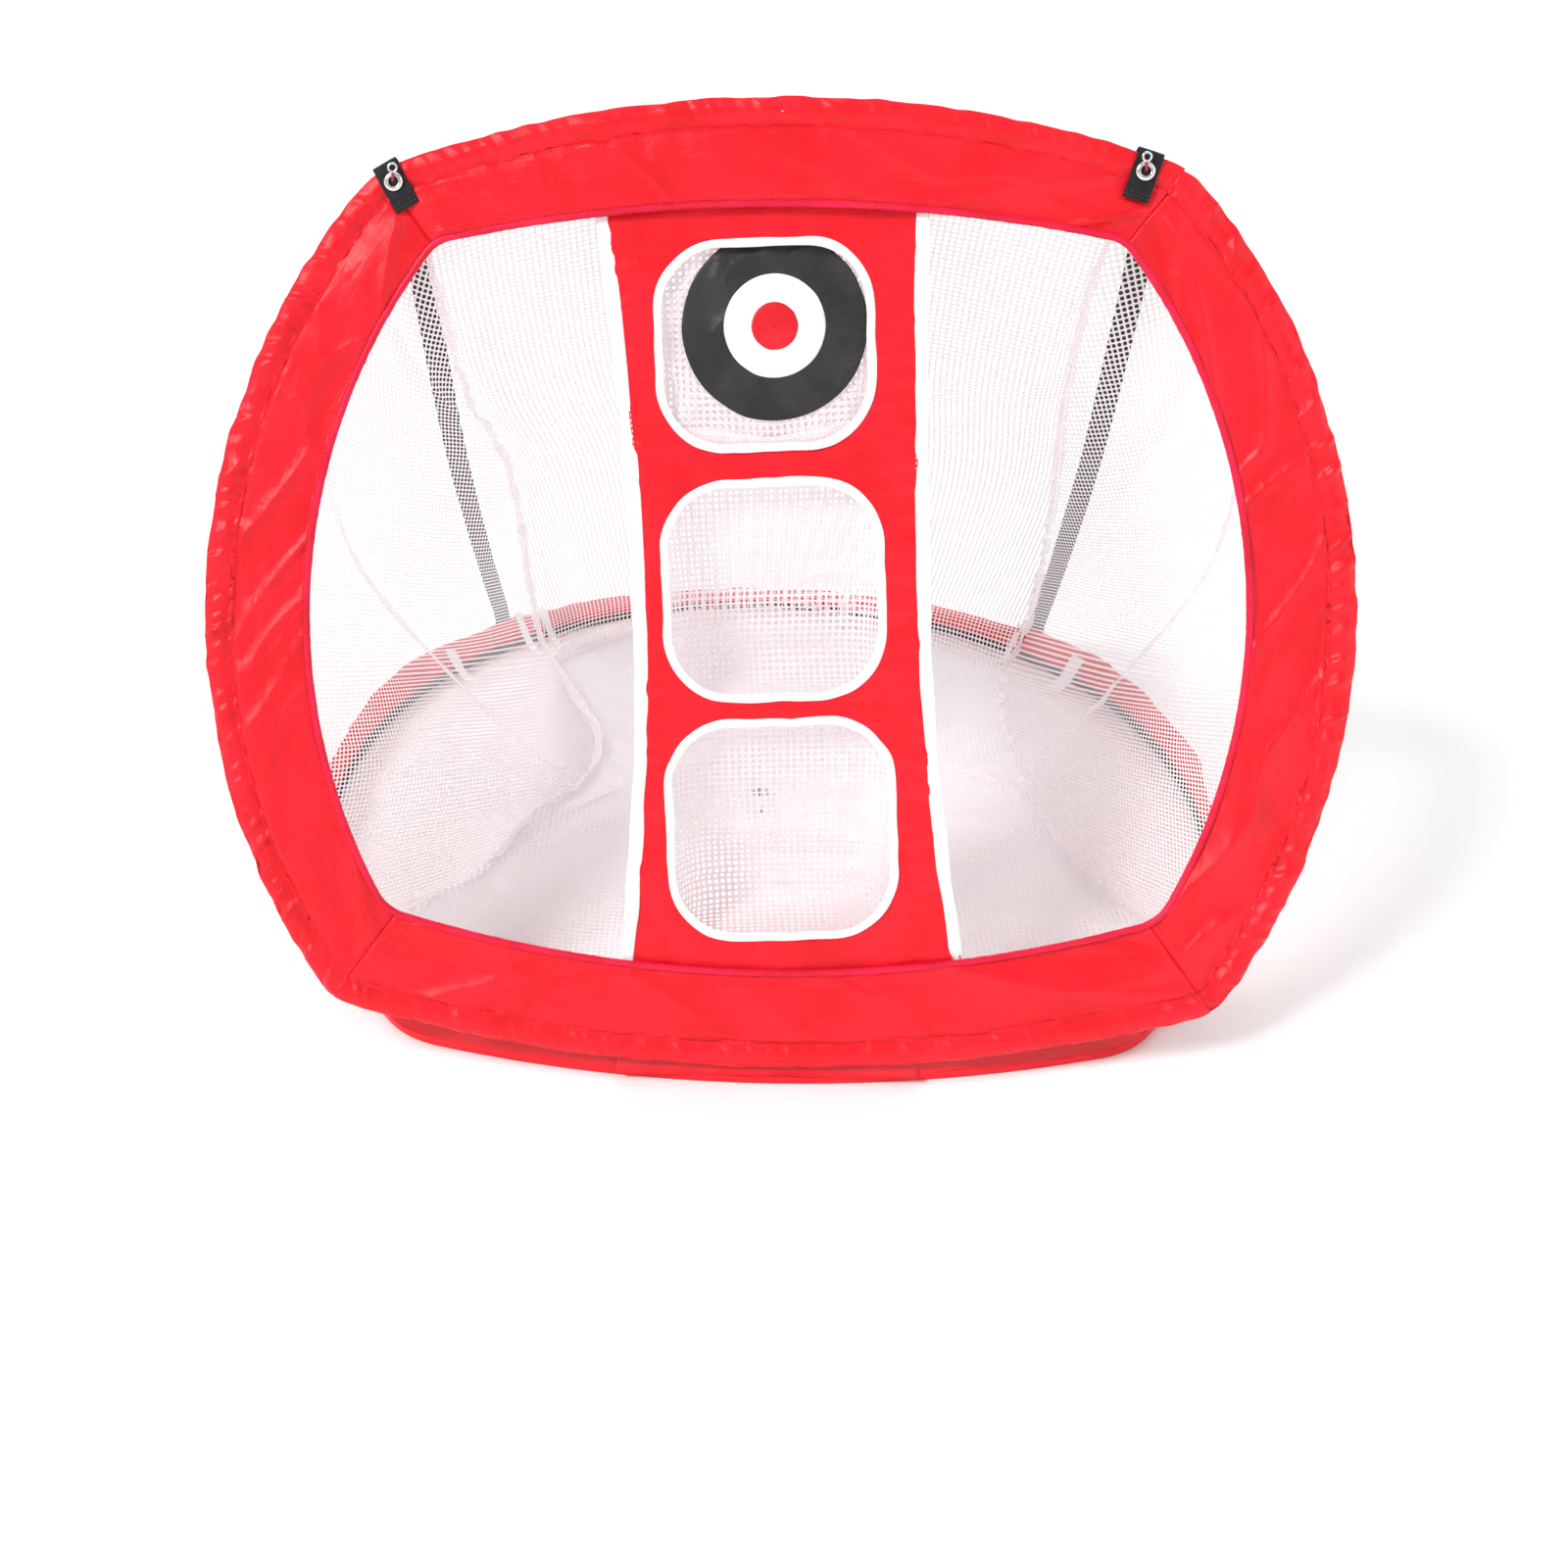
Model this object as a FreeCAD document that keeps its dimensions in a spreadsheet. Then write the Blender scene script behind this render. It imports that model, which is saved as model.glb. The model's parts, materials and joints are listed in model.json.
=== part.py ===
"""Folding golf chipping net: a sprung front ring with three target holes, standing on a sprung base
ring, with a netting catch bag between them.

Frame: +Z up, the floor is Z = 0, +Y runs from the front panel back to the rear of the base ring, and
the origin is under the middle of the net's footprint. Lengths are in millimetres.
"""
import FreeCAD, Part
import math
import os

import Sketcher
from FreeCAD import Placement, Rotation, Vector

DIMENSIONS = {
    # whole net
    "net_width": 1100,
    "lean_angle": 20,
    # front ring, measured in its own plane from its lowest point
    "front_height": 930,
    "front_low_radius": 1550,
    "front_high_radius": 1108,
    "front_side_radius": 633,
    "front_side_level": 427,
    "front_low_corner": 60,
    "front_high_corner": 70,
    "wire_dia": 3.5,
    "ferrule_dia": 6.4,
    "ferrule_length": 42,
    "hem_width": 28,
    "hem_thick": 10,
    "channel_dia": 8.4,
    # opening in the nylon border
    "opening_width": 900,
    "opening_bottom": 97,
    "opening_height": 737,
    "opening_low_radius": 1265,
    "opening_high_radius": 1560,
    "opening_side_radius": 580,
    "opening_side_level": 337,
    "opening_low_corner": 45,
    "opening_high_corner": 35,
    "border_thick": 2.4,
    "piping_dia": 7,
    # centre strip with the three holes, in a frame at its own middle
    "strip_level": 472,
    "strip_slant": 2.5,
    "strip_half_length": 405,
    "strip_left_top": 160,
    "strip_left_waist": 135,
    "strip_left_foot": 169,
    "strip_right_top": 160,
    "strip_right_waist": 150,
    "strip_right_foot": 182,
    "strip_depth": -5.4,
    "strip_thick": 1.6,
    "tape_width": 13,
    "tape_thick": 3,
    "hole_pitch": 231,
    "hole_width": 193,
    "hole_height": 188,
    "hole_corner": 56,
    "binding_width": 11,
    "binding_thick": 4,
    "pocket_size": 222,
    "pocket_top_depth": 24,
    "pocket_low_depth": 92,
    "pocket_wall": 1.5,
    # bullseye
    "target_radius": 88,
    "target_ring_radius": 48,
    "target_dot_radius": 22,
    "target_thick": 1.4,
    "target_shift_x": 10,
    "target_shift_y": 20,
    # webbing tabs and their small fittings
    "tab_width": 25,
    "tab_length": 45,
    "tab_thick": 1.8,
    "tab_left_turn": 29,
    "tab_left_across": 365.2,
    "tab_left_level": 869.6,
    "tab_right_turn": 18,
    "tab_right_across": 339.5,
    "tab_right_level": 878.4,
    "grommet_radius": 9,
    "grommet_bore": 4.2,
    "grommet_thick": 2,
    "grommet_drop": 18.5,
    "eye_radius": 3.8,
    "eye_wire": 1.1,
    "eye_rise": 12,
    "stem_radius": 1.3,
    # base ring
    "base_depth": 1096,
    "base_front_radius": 1250,
    "base_rear_radius": 548,
    "base_side_radius": 700,
    "base_side_level": 520,
    "base_front_corner": 110,
    "base_rear_corner": 480,
    "base_wire_level": 6.5,
    "band_rise_end": 330,
    "band_fall_start": 800,
    "base_sleeve_width": 13,
    "base_sleeve_height": 13,
    "front_sleeve_width": 30,
    "band_top": 62,
    "band_rear_top": 36,
    "band_thick": 2.6,
    "band_inset": 5.2,
    "floor_thick": 1.4,
    "hinge_strip_length": 300,
    "hinge_strip_width": 24,
    "hinge_strip_thick": 2,
    "hinge_setback": 12,
    # straps and netting
    "strap_width": 25,
    "strap_thick": 2,
    "anchor_height": 34,
    "net_thick": 1.6,
}

doc = FreeCAD.newDocument("chipping_net")
sheet = doc.addObject("Spreadsheet::Sheet", "Dimensions")
for row, (alias, value) in enumerate(DIMENSIONS.items(), start=1):
    sheet.set(f"A{row}", alias.replace("_", " "))
    sheet.set(f"B{row}", str(value))
    sheet.setAlias(f"B{row}", alias)
doc.recompute()


def size(alias):
    return float(sheet.get(alias))


def bind(feature, **properties):
    """Bind properties of a feature to cells of the sheet, or to formulas of them."""
    for name, formula in properties.items():
        feature.setExpression(name, formula)


# ---------------------------------------------------------------- frames
ORIGIN_SHIFT = Vector(0, -size("base_depth") / 2, 0)
HINGE_CLEARANCE = 0.6
HINGE_LEVEL = size("base_sleeve_height") + size("hinge_strip_thick") + 0.4
hinge_point = ORIGIN_SHIFT + Vector(0, size("hinge_setback"), HINGE_LEVEL)
panel_turn = Rotation(Vector(1, 0, 0), 90 - size("lean_angle"))
hem_back_corner = Vector(0, -HINGE_CLEARANCE, -size("hem_thick") / 2 - HINGE_CLEARANCE)
PANEL = Placement(hinge_point - panel_turn.multVec(hem_back_corner), panel_turn)
STRIP = PANEL.multiply(
    Placement(Vector(0, size("strip_level"), 0), Rotation(Vector(0, 0, 1), size("strip_slant")))
)
BASE = Placement(ORIGIN_SHIFT, Rotation())


# ---------------------------------------------------------------- outlines
class Outline:
    """A barrel-shaped closed line of eight tangent arcs, symmetric about the Y axis.

    Each arc bulges outwards. The line starts at (0, bottom) and every inset line shares its centres.
    """

    def __init__(self, width, height, low, side, high, side_level, low_corner, high_corner, bottom=0):
        self.low = (Vector(0, bottom + low, 0), low)
        self.high = (Vector(0, bottom + height - high, 0), high)
        self.side = (Vector(width / 2 - side, bottom + side_level, 0), side)
        self.low_corner = (self.corner_centre(self.low, low_corner, -1), low_corner)
        self.high_corner = (self.corner_centre(self.high, high_corner, 1), high_corner)

    def corner_centre(self, end, radius, up):
        """Centre of the arc that touches the side arc and an end arc from inside."""
        centre, reach = end[0], end[1] - radius
        side_centre, side_reach = self.side[0], self.side[1] - radius
        gap = side_centre.sub(centre)
        along = (reach ** 2 - side_reach ** 2 + gap.Length ** 2) / (2 * gap.Length)
        across = math.sqrt(reach ** 2 - along ** 2)
        unit = Vector(gap).normalize()
        normal = Vector(-unit.y, unit.x, 0)
        choices = [centre + unit * along + normal * across * sign for sign in (1, -1)]
        return max(choices, key=lambda point: point.x + up * point.y)

    def touch(self, big, corner, inset):
        """Where a big arc meets its corner arc on the right-hand side."""
        direction = corner[0].sub(big[0]).normalize()
        return big[0] + direction * (big[1] - inset)

    def wire(self, inset=0):
        low_right = self.touch(self.low, self.low_corner, inset)
        side_low = self.touch(self.side, self.low_corner, inset)
        side_high = self.touch(self.side, self.high_corner, inset)
        high_right = self.touch(self.high, self.high_corner, inset)
        right = [
            (low_right, self.low_corner, side_low),
            (side_low, self.side, side_high),
            (side_high, self.high_corner, high_right),
        ]
        edges = [self.arc(mirror(low_right), self.low, low_right, inset)]
        edges += [self.arc(start, circle, end, inset) for start, circle, end in right]
        edges.append(self.arc(high_right, self.high, mirror(high_right), inset))
        for start, circle, end in reversed(right):
            mirrored = (mirror(circle[0]), circle[1])
            edges.append(self.arc(mirror(end), mirrored, mirror(start), inset))
        return Part.Wire(edges)

    @staticmethod
    def arc(start, circle, end, inset):
        centre, radius = circle
        middle = (start + end) * 0.5
        outward = middle.sub(centre).normalize()
        return Part.Arc(start, centre + outward * (radius - inset), end).toShape()

    def region(self, outer_inset, inner_inset):
        """The flat ring between two insets."""
        return Part.Face(self.wire(outer_inset)).cut(Part.Face(self.wire(inner_inset)))


def mirror(point):
    return Vector(-point.x, point.y, point.z)


FRONT = Outline(
    size("net_width"), size("front_height"), size("front_low_radius"), size("front_side_radius"),
    size("front_high_radius"), size("front_side_level"), size("front_low_corner"), size("front_high_corner"),
)
OPENING = Outline(
    size("opening_width"), size("opening_height"), size("opening_low_radius"), size("opening_side_radius"),
    size("opening_high_radius"), size("opening_side_level"), size("opening_low_corner"),
    size("opening_high_corner"), size("opening_bottom"),
)
FOOTPRINT = Outline(
    2 * size("base_rear_radius"), size("base_depth"), size("base_front_radius"), size("base_side_radius"),
    size("base_rear_radius"), size("base_side_level"), size("base_front_corner"), size("base_rear_corner"),
)


# ---------------------------------------------------------------- builders
def add_shape(name, shape, placement):
    feature = doc.addObject("Part::Feature", name)
    feature.Label = name
    feature.Shape = shape
    feature.Placement = placement
    parts.append(feature)


def add_part(feature, placement):
    feature.Label = feature.Name
    feature.Placement = placement
    parts.append(feature)


def slab(face, low, high):
    """A flat region from one level to another along local Z."""
    raised = face.copy()
    raised.translate(Vector(0, 0, low))
    return raised.extrude(Vector(0, 0, high - low))


def round_bar(path, radius, level=0):
    """A round bar along a closed line of tangent arcs."""
    spine = path.copy()
    spine.translate(Vector(0, 0, level))
    first = spine.OrderedEdges[0]
    start = first.valueAt(first.FirstParameter)
    along = first.tangentAt(first.FirstParameter)
    section = Part.Wire(Part.makeCircle(radius, start, along))
    return Part.Solid(spine.makePipeShell([section], True, False))


def wedge(apex_level, corner_x, corner_y):
    """A tall triangle from a point on the Y axis out through a corner and its mirror image."""
    reach = 4.0
    apex = Vector(0, apex_level, -500)
    corner = Vector(corner_x, corner_y, -500)
    far = apex + (corner - apex) * reach
    outline = Part.makePolygon([apex, far, mirror(far), apex])
    return Part.Face(outline).extrude(Vector(0, 0, 1000))


def half_space(sign):
    """Everything with X of one sign."""
    box = Part.makeBox(3000, 6000, 1000, Vector(0, -3000, -500))
    if sign < 0:
        box.translate(Vector(-3000, 0, 0))
    return box


def quarters(ring, low_wedge, high_wedge):
    """A ring cut into its low, high, left and right pieces at the mitres."""
    sides = ring.cut(low_wedge).cut(high_wedge)
    return {
        "low": ring.common(low_wedge),
        "high": ring.common(high_wedge),
        "left": sides.common(half_space(-1)),
        "right": sides.common(half_space(1)),
    }


def one_solid(shape):
    return max(shape.Solids, key=lambda solid: solid.Volume)


def rounded_rectangle(width, height, radius):
    """A flat face with round corners, centred on the origin."""
    w, h = width / 2, height / 2
    k = radius * (1 - math.sqrt(0.5))
    edges = []
    for sx, sy in ((1, -1), (1, 1), (-1, 1), (-1, -1)):
        near_x = Vector(sx * (w - radius), sy * h, 0)
        near_y = Vector(sx * w, sy * (h - radius), 0)
        bend = Vector(sx * (w - k), sy * (h - k), 0)
        ends = (near_x, near_y) if sx * sy < 0 else (near_y, near_x)
        edges.append(Part.Arc(ends[0], bend, ends[1]).toShape())
    corners = []
    for index, arc in enumerate(edges):
        following = edges[(index + 1) % len(edges)]
        corners.append(arc)
        corners.append(Part.makeLine(arc.Vertexes[1].Point, following.Vertexes[0].Point))
    return Part.Face(Part.Wire(corners))


def origin_plane(body, role):
    return next(item for item in body.Origin.OriginFeatures if item.Role == role)


def sketch_on(body, role, name):
    sketch = body.newObject("Sketcher::SketchObject", name)
    sketch.AttachmentSupport = (origin_plane(body, role), [""])
    sketch.MapMode = "FlatFace"
    return sketch


def band_profile(points_outer, points_inner):
    """A thin closed outline between two three-point arcs."""
    outer = Part.Arc(*points_outer).toShape()
    inner = Part.Arc(*reversed(points_inner)).toShape()
    joins = [
        Part.makeLine(points_outer[2], points_inner[2]),
        Part.makeLine(points_inner[0], points_outer[0]),
    ]
    return Part.Wire([outer, joins[0], inner, joins[1]])


def net_sheet(front_points, base_points, front_inward, base_inward):
    """A thin netting wall ruled between an arc on the front ring and an arc on the base ring."""
    thick = size("net_thick")
    front = [PANEL.multVec(point) for point in front_points]
    front_back = [
        PANEL.multVec(point + direction * thick) for point, direction in zip(front_points, front_inward)
    ]
    base = [BASE.multVec(point) for point in base_points]
    base_back = [
        BASE.multVec(point + direction * thick) for point, direction in zip(base_points, base_inward)
    ]
    profiles = [band_profile(front, front_back), band_profile(base, base_back)]
    return Part.makeLoft(profiles, True, True)


parts = []

# ---------------------------------------------------------------- front ring: wire, ferrule and hem
half_hem = size("hem_thick") / 2
front_wire_path = FRONT.wire(size("hem_width") / 2)
front_channel = round_bar(front_wire_path, size("channel_dia") / 2)
add_shape("front_hoop", round_bar(front_wire_path, size("wire_dia") / 2), PANEL)


def add_ferrule(name, place):
    """The crimped tube that joins the two ends of a spring wire."""
    body = doc.addObject("PartDesign::Body", name)
    sketch = sketch_on(body, "YZ_Plane", name + "_section")
    for diameter in ("ferrule_dia", "wire_dia"):
        circle = sketch.addGeometry(Part.Circle(Vector(), Vector(0, 0, 1), size(diameter) / 2))
        sketch.addConstraint(Sketcher.Constraint("Coincident", circle, 3, -1, 1))
        index = sketch.addConstraint(Sketcher.Constraint("Diameter", circle, size(diameter)))
        play = " + 1" if diameter == "wire_dia" else ""
        sketch.setExpression(f"Constraints[{index}]", f"Dimensions.{diameter}{play}")
    pad = body.newObject("PartDesign::Pad", name + "_tube")
    pad.Profile = sketch
    pad.SideType = "Symmetric"
    bind(pad, Length="Dimensions.ferrule_length")
    body.Tip = pad
    add_part(body, place)


front_ferrule_level = size("front_height") - size("hem_width") / 2
add_ferrule("front_hoop_ferrule", PANEL.multiply(Placement(Vector(0, front_ferrule_level, 0), Rotation())))

LOW_MITRE_APEX, LOW_MITRE_CORNER = 656, (434, 62)
HIGH_MITRE_APEX, HIGH_MITRE_CORNER = 379, (374, 865)
low_mitre = wedge(LOW_MITRE_APEX, *LOW_MITRE_CORNER)
high_mitre = wedge(HIGH_MITRE_APEX, *HIGH_MITRE_CORNER)
hem_ring = slab(FRONT.region(0, size("hem_width")), -half_hem, half_hem).cut(front_channel)
border_half = size("border_thick") / 2
border_face = Part.Face(FRONT.wire(size("hem_width") + 0.3)).cut(
    Part.Face(OPENING.wire(-size("piping_dia") / 2 - 0.2))
)
border_ring = slab(border_face, -border_half, border_half)
SIDE_NAMES = {"low": "bottom", "high": "top", "left": "left", "right": "right"}
for ring_name, ring in (("hem", hem_ring), ("border", border_ring)):
    for key, piece in quarters(ring, low_mitre, high_mitre).items():
        add_shape(f"{ring_name}_{SIDE_NAMES[key]}", one_solid(piece), PANEL)
add_shape("opening_piping", round_bar(OPENING.wire(), size("piping_dia") / 2), PANEL)

# ---------------------------------------------------------------- centre strip
half_length = size("strip_half_length")
tape = size("tape_width")


def strip_edge(inward, side):
    """One waisted long edge of the strip, from its foot to its top."""
    word = "left" if side < 0 else "right"
    levels = {"foot": -half_length, "waist": 0, "top": half_length}
    return [
        Vector(side * (size(f"strip_{word}_{key}") - inward), level, 0) for key, level in levels.items()
    ]


def between(left_points, right_points):
    """The face between two three-point arcs that both run upwards."""
    edges = [
        Part.Arc(*right_points).toShape(),
        Part.makeLine(right_points[2], left_points[2]),
        Part.Arc(*reversed(left_points)).toShape(),
        Part.makeLine(left_points[0], right_points[0]),
    ]
    return Part.Face(Part.Wire(edges))


hole_levels = {"top": size("hole_pitch"), "middle": 0.0, "bottom": -size("hole_pitch")}
binding_outer = [size(key) + 2 * size("binding_width") for key in ("hole_width", "hole_height")]
binding_corner = size("hole_corner") + size("binding_width")
strip_face = between(strip_edge(tape + 0.2, -1), strip_edge(tape + 0.2, 1))
for level in hole_levels.values():
    hole = rounded_rectangle(binding_outer[0] + 0.4, binding_outer[1] + 0.4, binding_corner)
    hole.translate(Vector(0, level, 0))
    strip_face = strip_face.cut(hole)
depth = size("strip_depth")
add_shape(
    "centre_panel",
    slab(strip_face, depth - size("strip_thick") / 2, depth + size("strip_thick") / 2),
    STRIP,
)
for side, name in ((-1, "edge_tape_left"), (1, "edge_tape_right")):
    inner, outer = strip_edge(tape, side), strip_edge(0, side)
    face = between(outer, inner) if side < 0 else between(inner, outer)
    add_shape(name, slab(face, depth - size("tape_thick") / 2, depth + size("tape_thick") / 2), STRIP)

binding_face = rounded_rectangle(*binding_outer, binding_corner).cut(
    rounded_rectangle(size("hole_width"), size("hole_height"), size("hole_corner"))
)
binding_half = size("binding_thick") / 2
pocket_half = size("pocket_size") / 2
pocket_front = depth - binding_half - 0.3
wall = size("pocket_wall")


def pocket_profile(inset, front):
    """Side outline of a pocket, deeper at its foot, as a face in the YZ plane."""
    high, low = pocket_half - inset, -pocket_half + inset
    back_high = pocket_front - size("pocket_top_depth") + inset
    back_low = pocket_front - size("pocket_low_depth") + inset
    corners = [(high, front), (high, back_high), (low, back_low), (low, front), (high, front)]
    return Part.Face(Part.makePolygon([Vector(0, y, z) for y, z in corners]))


def pocket_block(inset, front):
    half_width = pocket_half - inset
    face = pocket_profile(inset, front)
    face.translate(Vector(-half_width, 0, 0))
    return face.extrude(Vector(2 * half_width, 0, 0))


pocket_shell = pocket_block(0, pocket_front).cut(pocket_block(wall, pocket_front + 5))
for name, level in hole_levels.items():
    place = STRIP.multiply(Placement(Vector(0, level, 0), Rotation()))
    add_shape(f"hole_binding_{name}", slab(binding_face, depth - binding_half, depth + binding_half), place)
    add_shape(f"pocket_{name}", pocket_shell, place)

# ---------------------------------------------------------------- bullseye
TARGET_GAP = 5.0
target_back = pocket_front - TARGET_GAP
target_place = STRIP.multiply(
    Placement(Vector(size("target_shift_x"), size("hole_pitch") + size("target_shift_y"), 0), Rotation())
)
for order, (name, alias) in enumerate(
    (
        ("target_disc", "target_radius"),
        ("target_ring", "target_ring_radius"),
        ("target_dot", "target_dot_radius"),
    )
):
    disc = doc.addObject("Part::Cylinder", name)
    bind(disc, Radius=f"Dimensions.{alias}", Height="Dimensions.target_thick")
    step = size("target_thick") + 0.1
    add_part(disc, target_place.multiply(Placement(Vector(0, 0, target_back + order * step), Rotation())))

# ---------------------------------------------------------------- corner tabs, grommets and eyes
TAB_CLEARANCE = 0.5
tab_gap = half_hem + TAB_CLEARANCE


def add_tab(name, place):
    """Webbing folded over the hem: a U seen from the side, with its closed end outwards."""
    body = doc.addObject("PartDesign::Body", name)
    sketch = sketch_on(body, "YZ_Plane", name + "_fold")
    thick, length = size("tab_thick"), size("tab_length")
    outer, inner = tab_gap + thick, tab_gap
    points = [
        (thick, outer), (-length, outer), (-length, inner), (0, inner),
        (0, -inner), (-length, -inner), (-length, -outer), (thick, -outer),
    ]
    count = len(points)
    for index in range(count):
        start, end = points[index], points[(index + 1) % count]
        sketch.addGeometry(Part.LineSegment(Vector(*start, 0), Vector(*end, 0)))
    for index in range(count):
        sketch.addConstraint(Sketcher.Constraint("Coincident", index, 2, (index + 1) % count, 1))
    pad = body.newObject("PartDesign::Pad", name + "_webbing")
    pad.Profile = sketch
    pad.SideType = "Symmetric"
    bind(pad, Length="Dimensions.tab_width")
    body.Tip = pad
    add_part(body, place)


def add_grommet(name, place):
    """A pressed metal eyelet with a domed rim, turned about its own axis."""
    body = doc.addObject("PartDesign::Body", name)
    sketch = sketch_on(body, "XZ_Plane", name + "_rim")
    bore, rim, thick = size("grommet_bore"), size("grommet_radius"), size("grommet_thick")
    crown = Vector((bore + rim) / 2, thick, 0)
    sketch.addGeometry(Part.LineSegment(Vector(bore, 0, 0), Vector(rim, 0, 0)))
    sketch.addGeometry(Part.Arc(Vector(rim, 0, 0), crown, Vector(bore, 0, 0)))
    sketch.addConstraint(Sketcher.Constraint("Coincident", 0, 2, 1, 1))
    sketch.addConstraint(Sketcher.Constraint("Coincident", 0, 1, 1, 2))
    turned = body.newObject("PartDesign::Revolution", name + "_turned")
    turned.Profile = sketch
    turned.ReferenceAxis = (sketch, ["V_Axis"])
    turned.Angle = 360
    body.Tip = turned
    add_part(body, place)


tab_face = tab_gap + size("tab_thick")
for side, word in ((-1, "left"), (1, "right")):
    tab_turn = size(f"tab_{word}_turn")
    turn = Rotation(Vector(0, 0, 1), -side * tab_turn)
    tab_spot = Vector(side * size(f"tab_{word}_across"), size(f"tab_{word}_level"), 0)
    tab_frame = PANEL.multiply(Placement(tab_spot, turn))
    add_tab(f"tab_{word}", tab_frame)
    grommet_spot = Vector(0, -size("grommet_drop"), tab_face + 0.1)
    add_grommet(f"grommet_{word}", tab_frame.multiply(Placement(grommet_spot, Rotation())))
    upright = Rotation(Vector(0, 0, 1), side * tab_turn)
    eye_level = grommet_spot.z + size("grommet_thick") + size("stem_radius") + 0.3
    eye_frame = tab_frame.multiply(Placement(Vector(0, grommet_spot.y, eye_level), upright))
    eye = doc.addObject("Part::Torus", f"eye_{word}")
    bind(eye, Radius1="Dimensions.eye_radius", Radius2="Dimensions.eye_wire")
    add_part(eye, eye_frame.multiply(Placement(Vector(0, size("eye_rise"), 0), Rotation())))
    stem = doc.addObject("Part::Cylinder", f"eye_stem_{word}")
    eye_foot = "Dimensions.eye_rise - Dimensions.eye_radius - Dimensions.eye_wire - 0.2"
    bind(stem, Radius="Dimensions.stem_radius", Height=eye_foot)
    add_part(stem, eye_frame.multiply(Placement(Vector(0, 0, 0), Rotation(Vector(1, 0, 0), -90))))

# ---------------------------------------------------------------- base ring
sleeve = size("base_sleeve_width")
sleeve_top = size("base_sleeve_height")
base_path = FOOTPRINT.wire(sleeve / 2)
base_channel = round_bar(base_path, size("channel_dia") / 2, size("base_wire_level"))
add_shape("base_hoop", round_bar(base_path, size("wire_dia") / 2, size("base_wire_level")), BASE)
rear_spot = Vector(0, size("base_depth") - sleeve / 2, size("base_wire_level"))
add_ferrule("base_hoop_ferrule", BASE.multiply(Placement(rear_spot, Rotation())))

BASE_FRONT_CORNER, BASE_REAR_JOIN = (405, 110), (400, 925)
base_low = wedge(size("base_depth") / 2, *BASE_FRONT_CORNER)
base_high = wedge(size("base_depth") / 2, *BASE_REAR_JOIN)
sleeve_ring = slab(FOOTPRINT.region(0, sleeve), 0, sleeve_top).cut(base_channel)
sleeves = quarters(sleeve_ring, base_low, base_high)
for key, word in (("left", "left"), ("right", "right"), ("high", "rear")):
    add_shape(f"base_binding_{word}", one_solid(sleeves[key]), BASE)
wide_ring = slab(FOOTPRINT.region(0, size("front_sleeve_width")), 0, sleeve_top).cut(base_channel)
add_shape("base_front_sleeve", one_solid(wide_ring.common(base_low)), BASE)

band_low = sleeve_top + 0.2
band_face = FOOTPRINT.region(size("band_inset"), size("band_inset") + size("band_thick"))
band_ring = slab(band_face, band_low, size("band_top"))
ABOVE_ALL, BEYOND = 400, 900
band_line = [
    (0, sleeve_top + 1),
    (size("band_rise_end"), size("band_top")),
    (size("band_fall_start"), size("band_top")),
    (size("base_depth"), size("band_rear_top")),
    (size("base_depth"), ABOVE_ALL),
    (0, ABOVE_ALL),
]
above_band = Part.Face(
    Part.makePolygon([Vector(-BEYOND, y, z) for y, z in band_line + band_line[:1]])
).extrude(Vector(2 * BEYOND, 0, 0))
bands = quarters(band_ring.cut(above_band), base_low, base_high)
for key, word in (("left", "left"), ("right", "right"), ("high", "rear")):
    add_shape(f"base_band_{word}", one_solid(bands[key]), BASE)

FLOOR_GAP = 0.5
floor_block = slab(Part.Face(FOOTPRINT.wire(sleeve + FLOOR_GAP)), 0, size("floor_thick"))
front_block = slab(FOOTPRINT.region(-5, size("front_sleeve_width") + FLOOR_GAP), -1, 5).common(base_low)
add_shape("net_floor", one_solid(floor_block.cut(front_block)), BASE)

strip = doc.addObject("Part::Box", "hinge_strip")
bind(
    strip,
    Length="Dimensions.hinge_strip_length",
    Width="Dimensions.hinge_strip_width",
    Height="Dimensions.hinge_strip_thick",
)
HINGE_STRIP_SETBACK = 3.0
strip_corner = Vector(-size("hinge_strip_length") / 2, HINGE_STRIP_SETBACK, sleeve_top + 0.1)
add_part(strip, BASE.multiply(Placement(strip_corner, Rotation())))

# ---------------------------------------------------------------- netting walls of the catch bag
NET_BEHIND_HEM = half_hem + 4.0
NET_FOOT_LEVEL = size("floor_thick") + 1.0
front_side_centre = FRONT.side[0]


def on_front_side(angle, side):
    """A point on the side arc of the front ring, just behind the hem."""
    reach = FRONT.side[1] - size("hem_width") / 2
    x = front_side_centre.x + reach * math.cos(math.radians(angle))
    y = front_side_centre.y + reach * math.sin(math.radians(angle))
    return Vector(side * x, y, -NET_BEHIND_HEM)


SIDE_LOW_ANGLE, SIDE_MID_ANGLE, SIDE_HIGH_ANGLE = -31.0, 4.0, 41.0
FOOT_FRONT_SPOT, FOOT_BACK_SPOT = (428, 288), (345, 925)
FOOT_MIDDLE_SPOT = {"left": (250, 600), "right": (335, 600)}
for side, word in ((-1, "left"), (1, "right")):
    inward = Vector(-side, 0, 0)
    front_points = [on_front_side(a, side) for a in (SIDE_LOW_ANGLE, SIDE_MID_ANGLE, SIDE_HIGH_ANGLE)]
    spots = (FOOT_FRONT_SPOT, FOOT_MIDDLE_SPOT[word], FOOT_BACK_SPOT)
    base_points = [Vector(side * x, y, NET_FOOT_LEVEL) for x, y in spots]
    wall_shape = net_sheet(front_points, base_points, [inward] * 3, [inward] * 3)
    add_shape(f"net_side_{word}", wall_shape, Placement())

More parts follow.
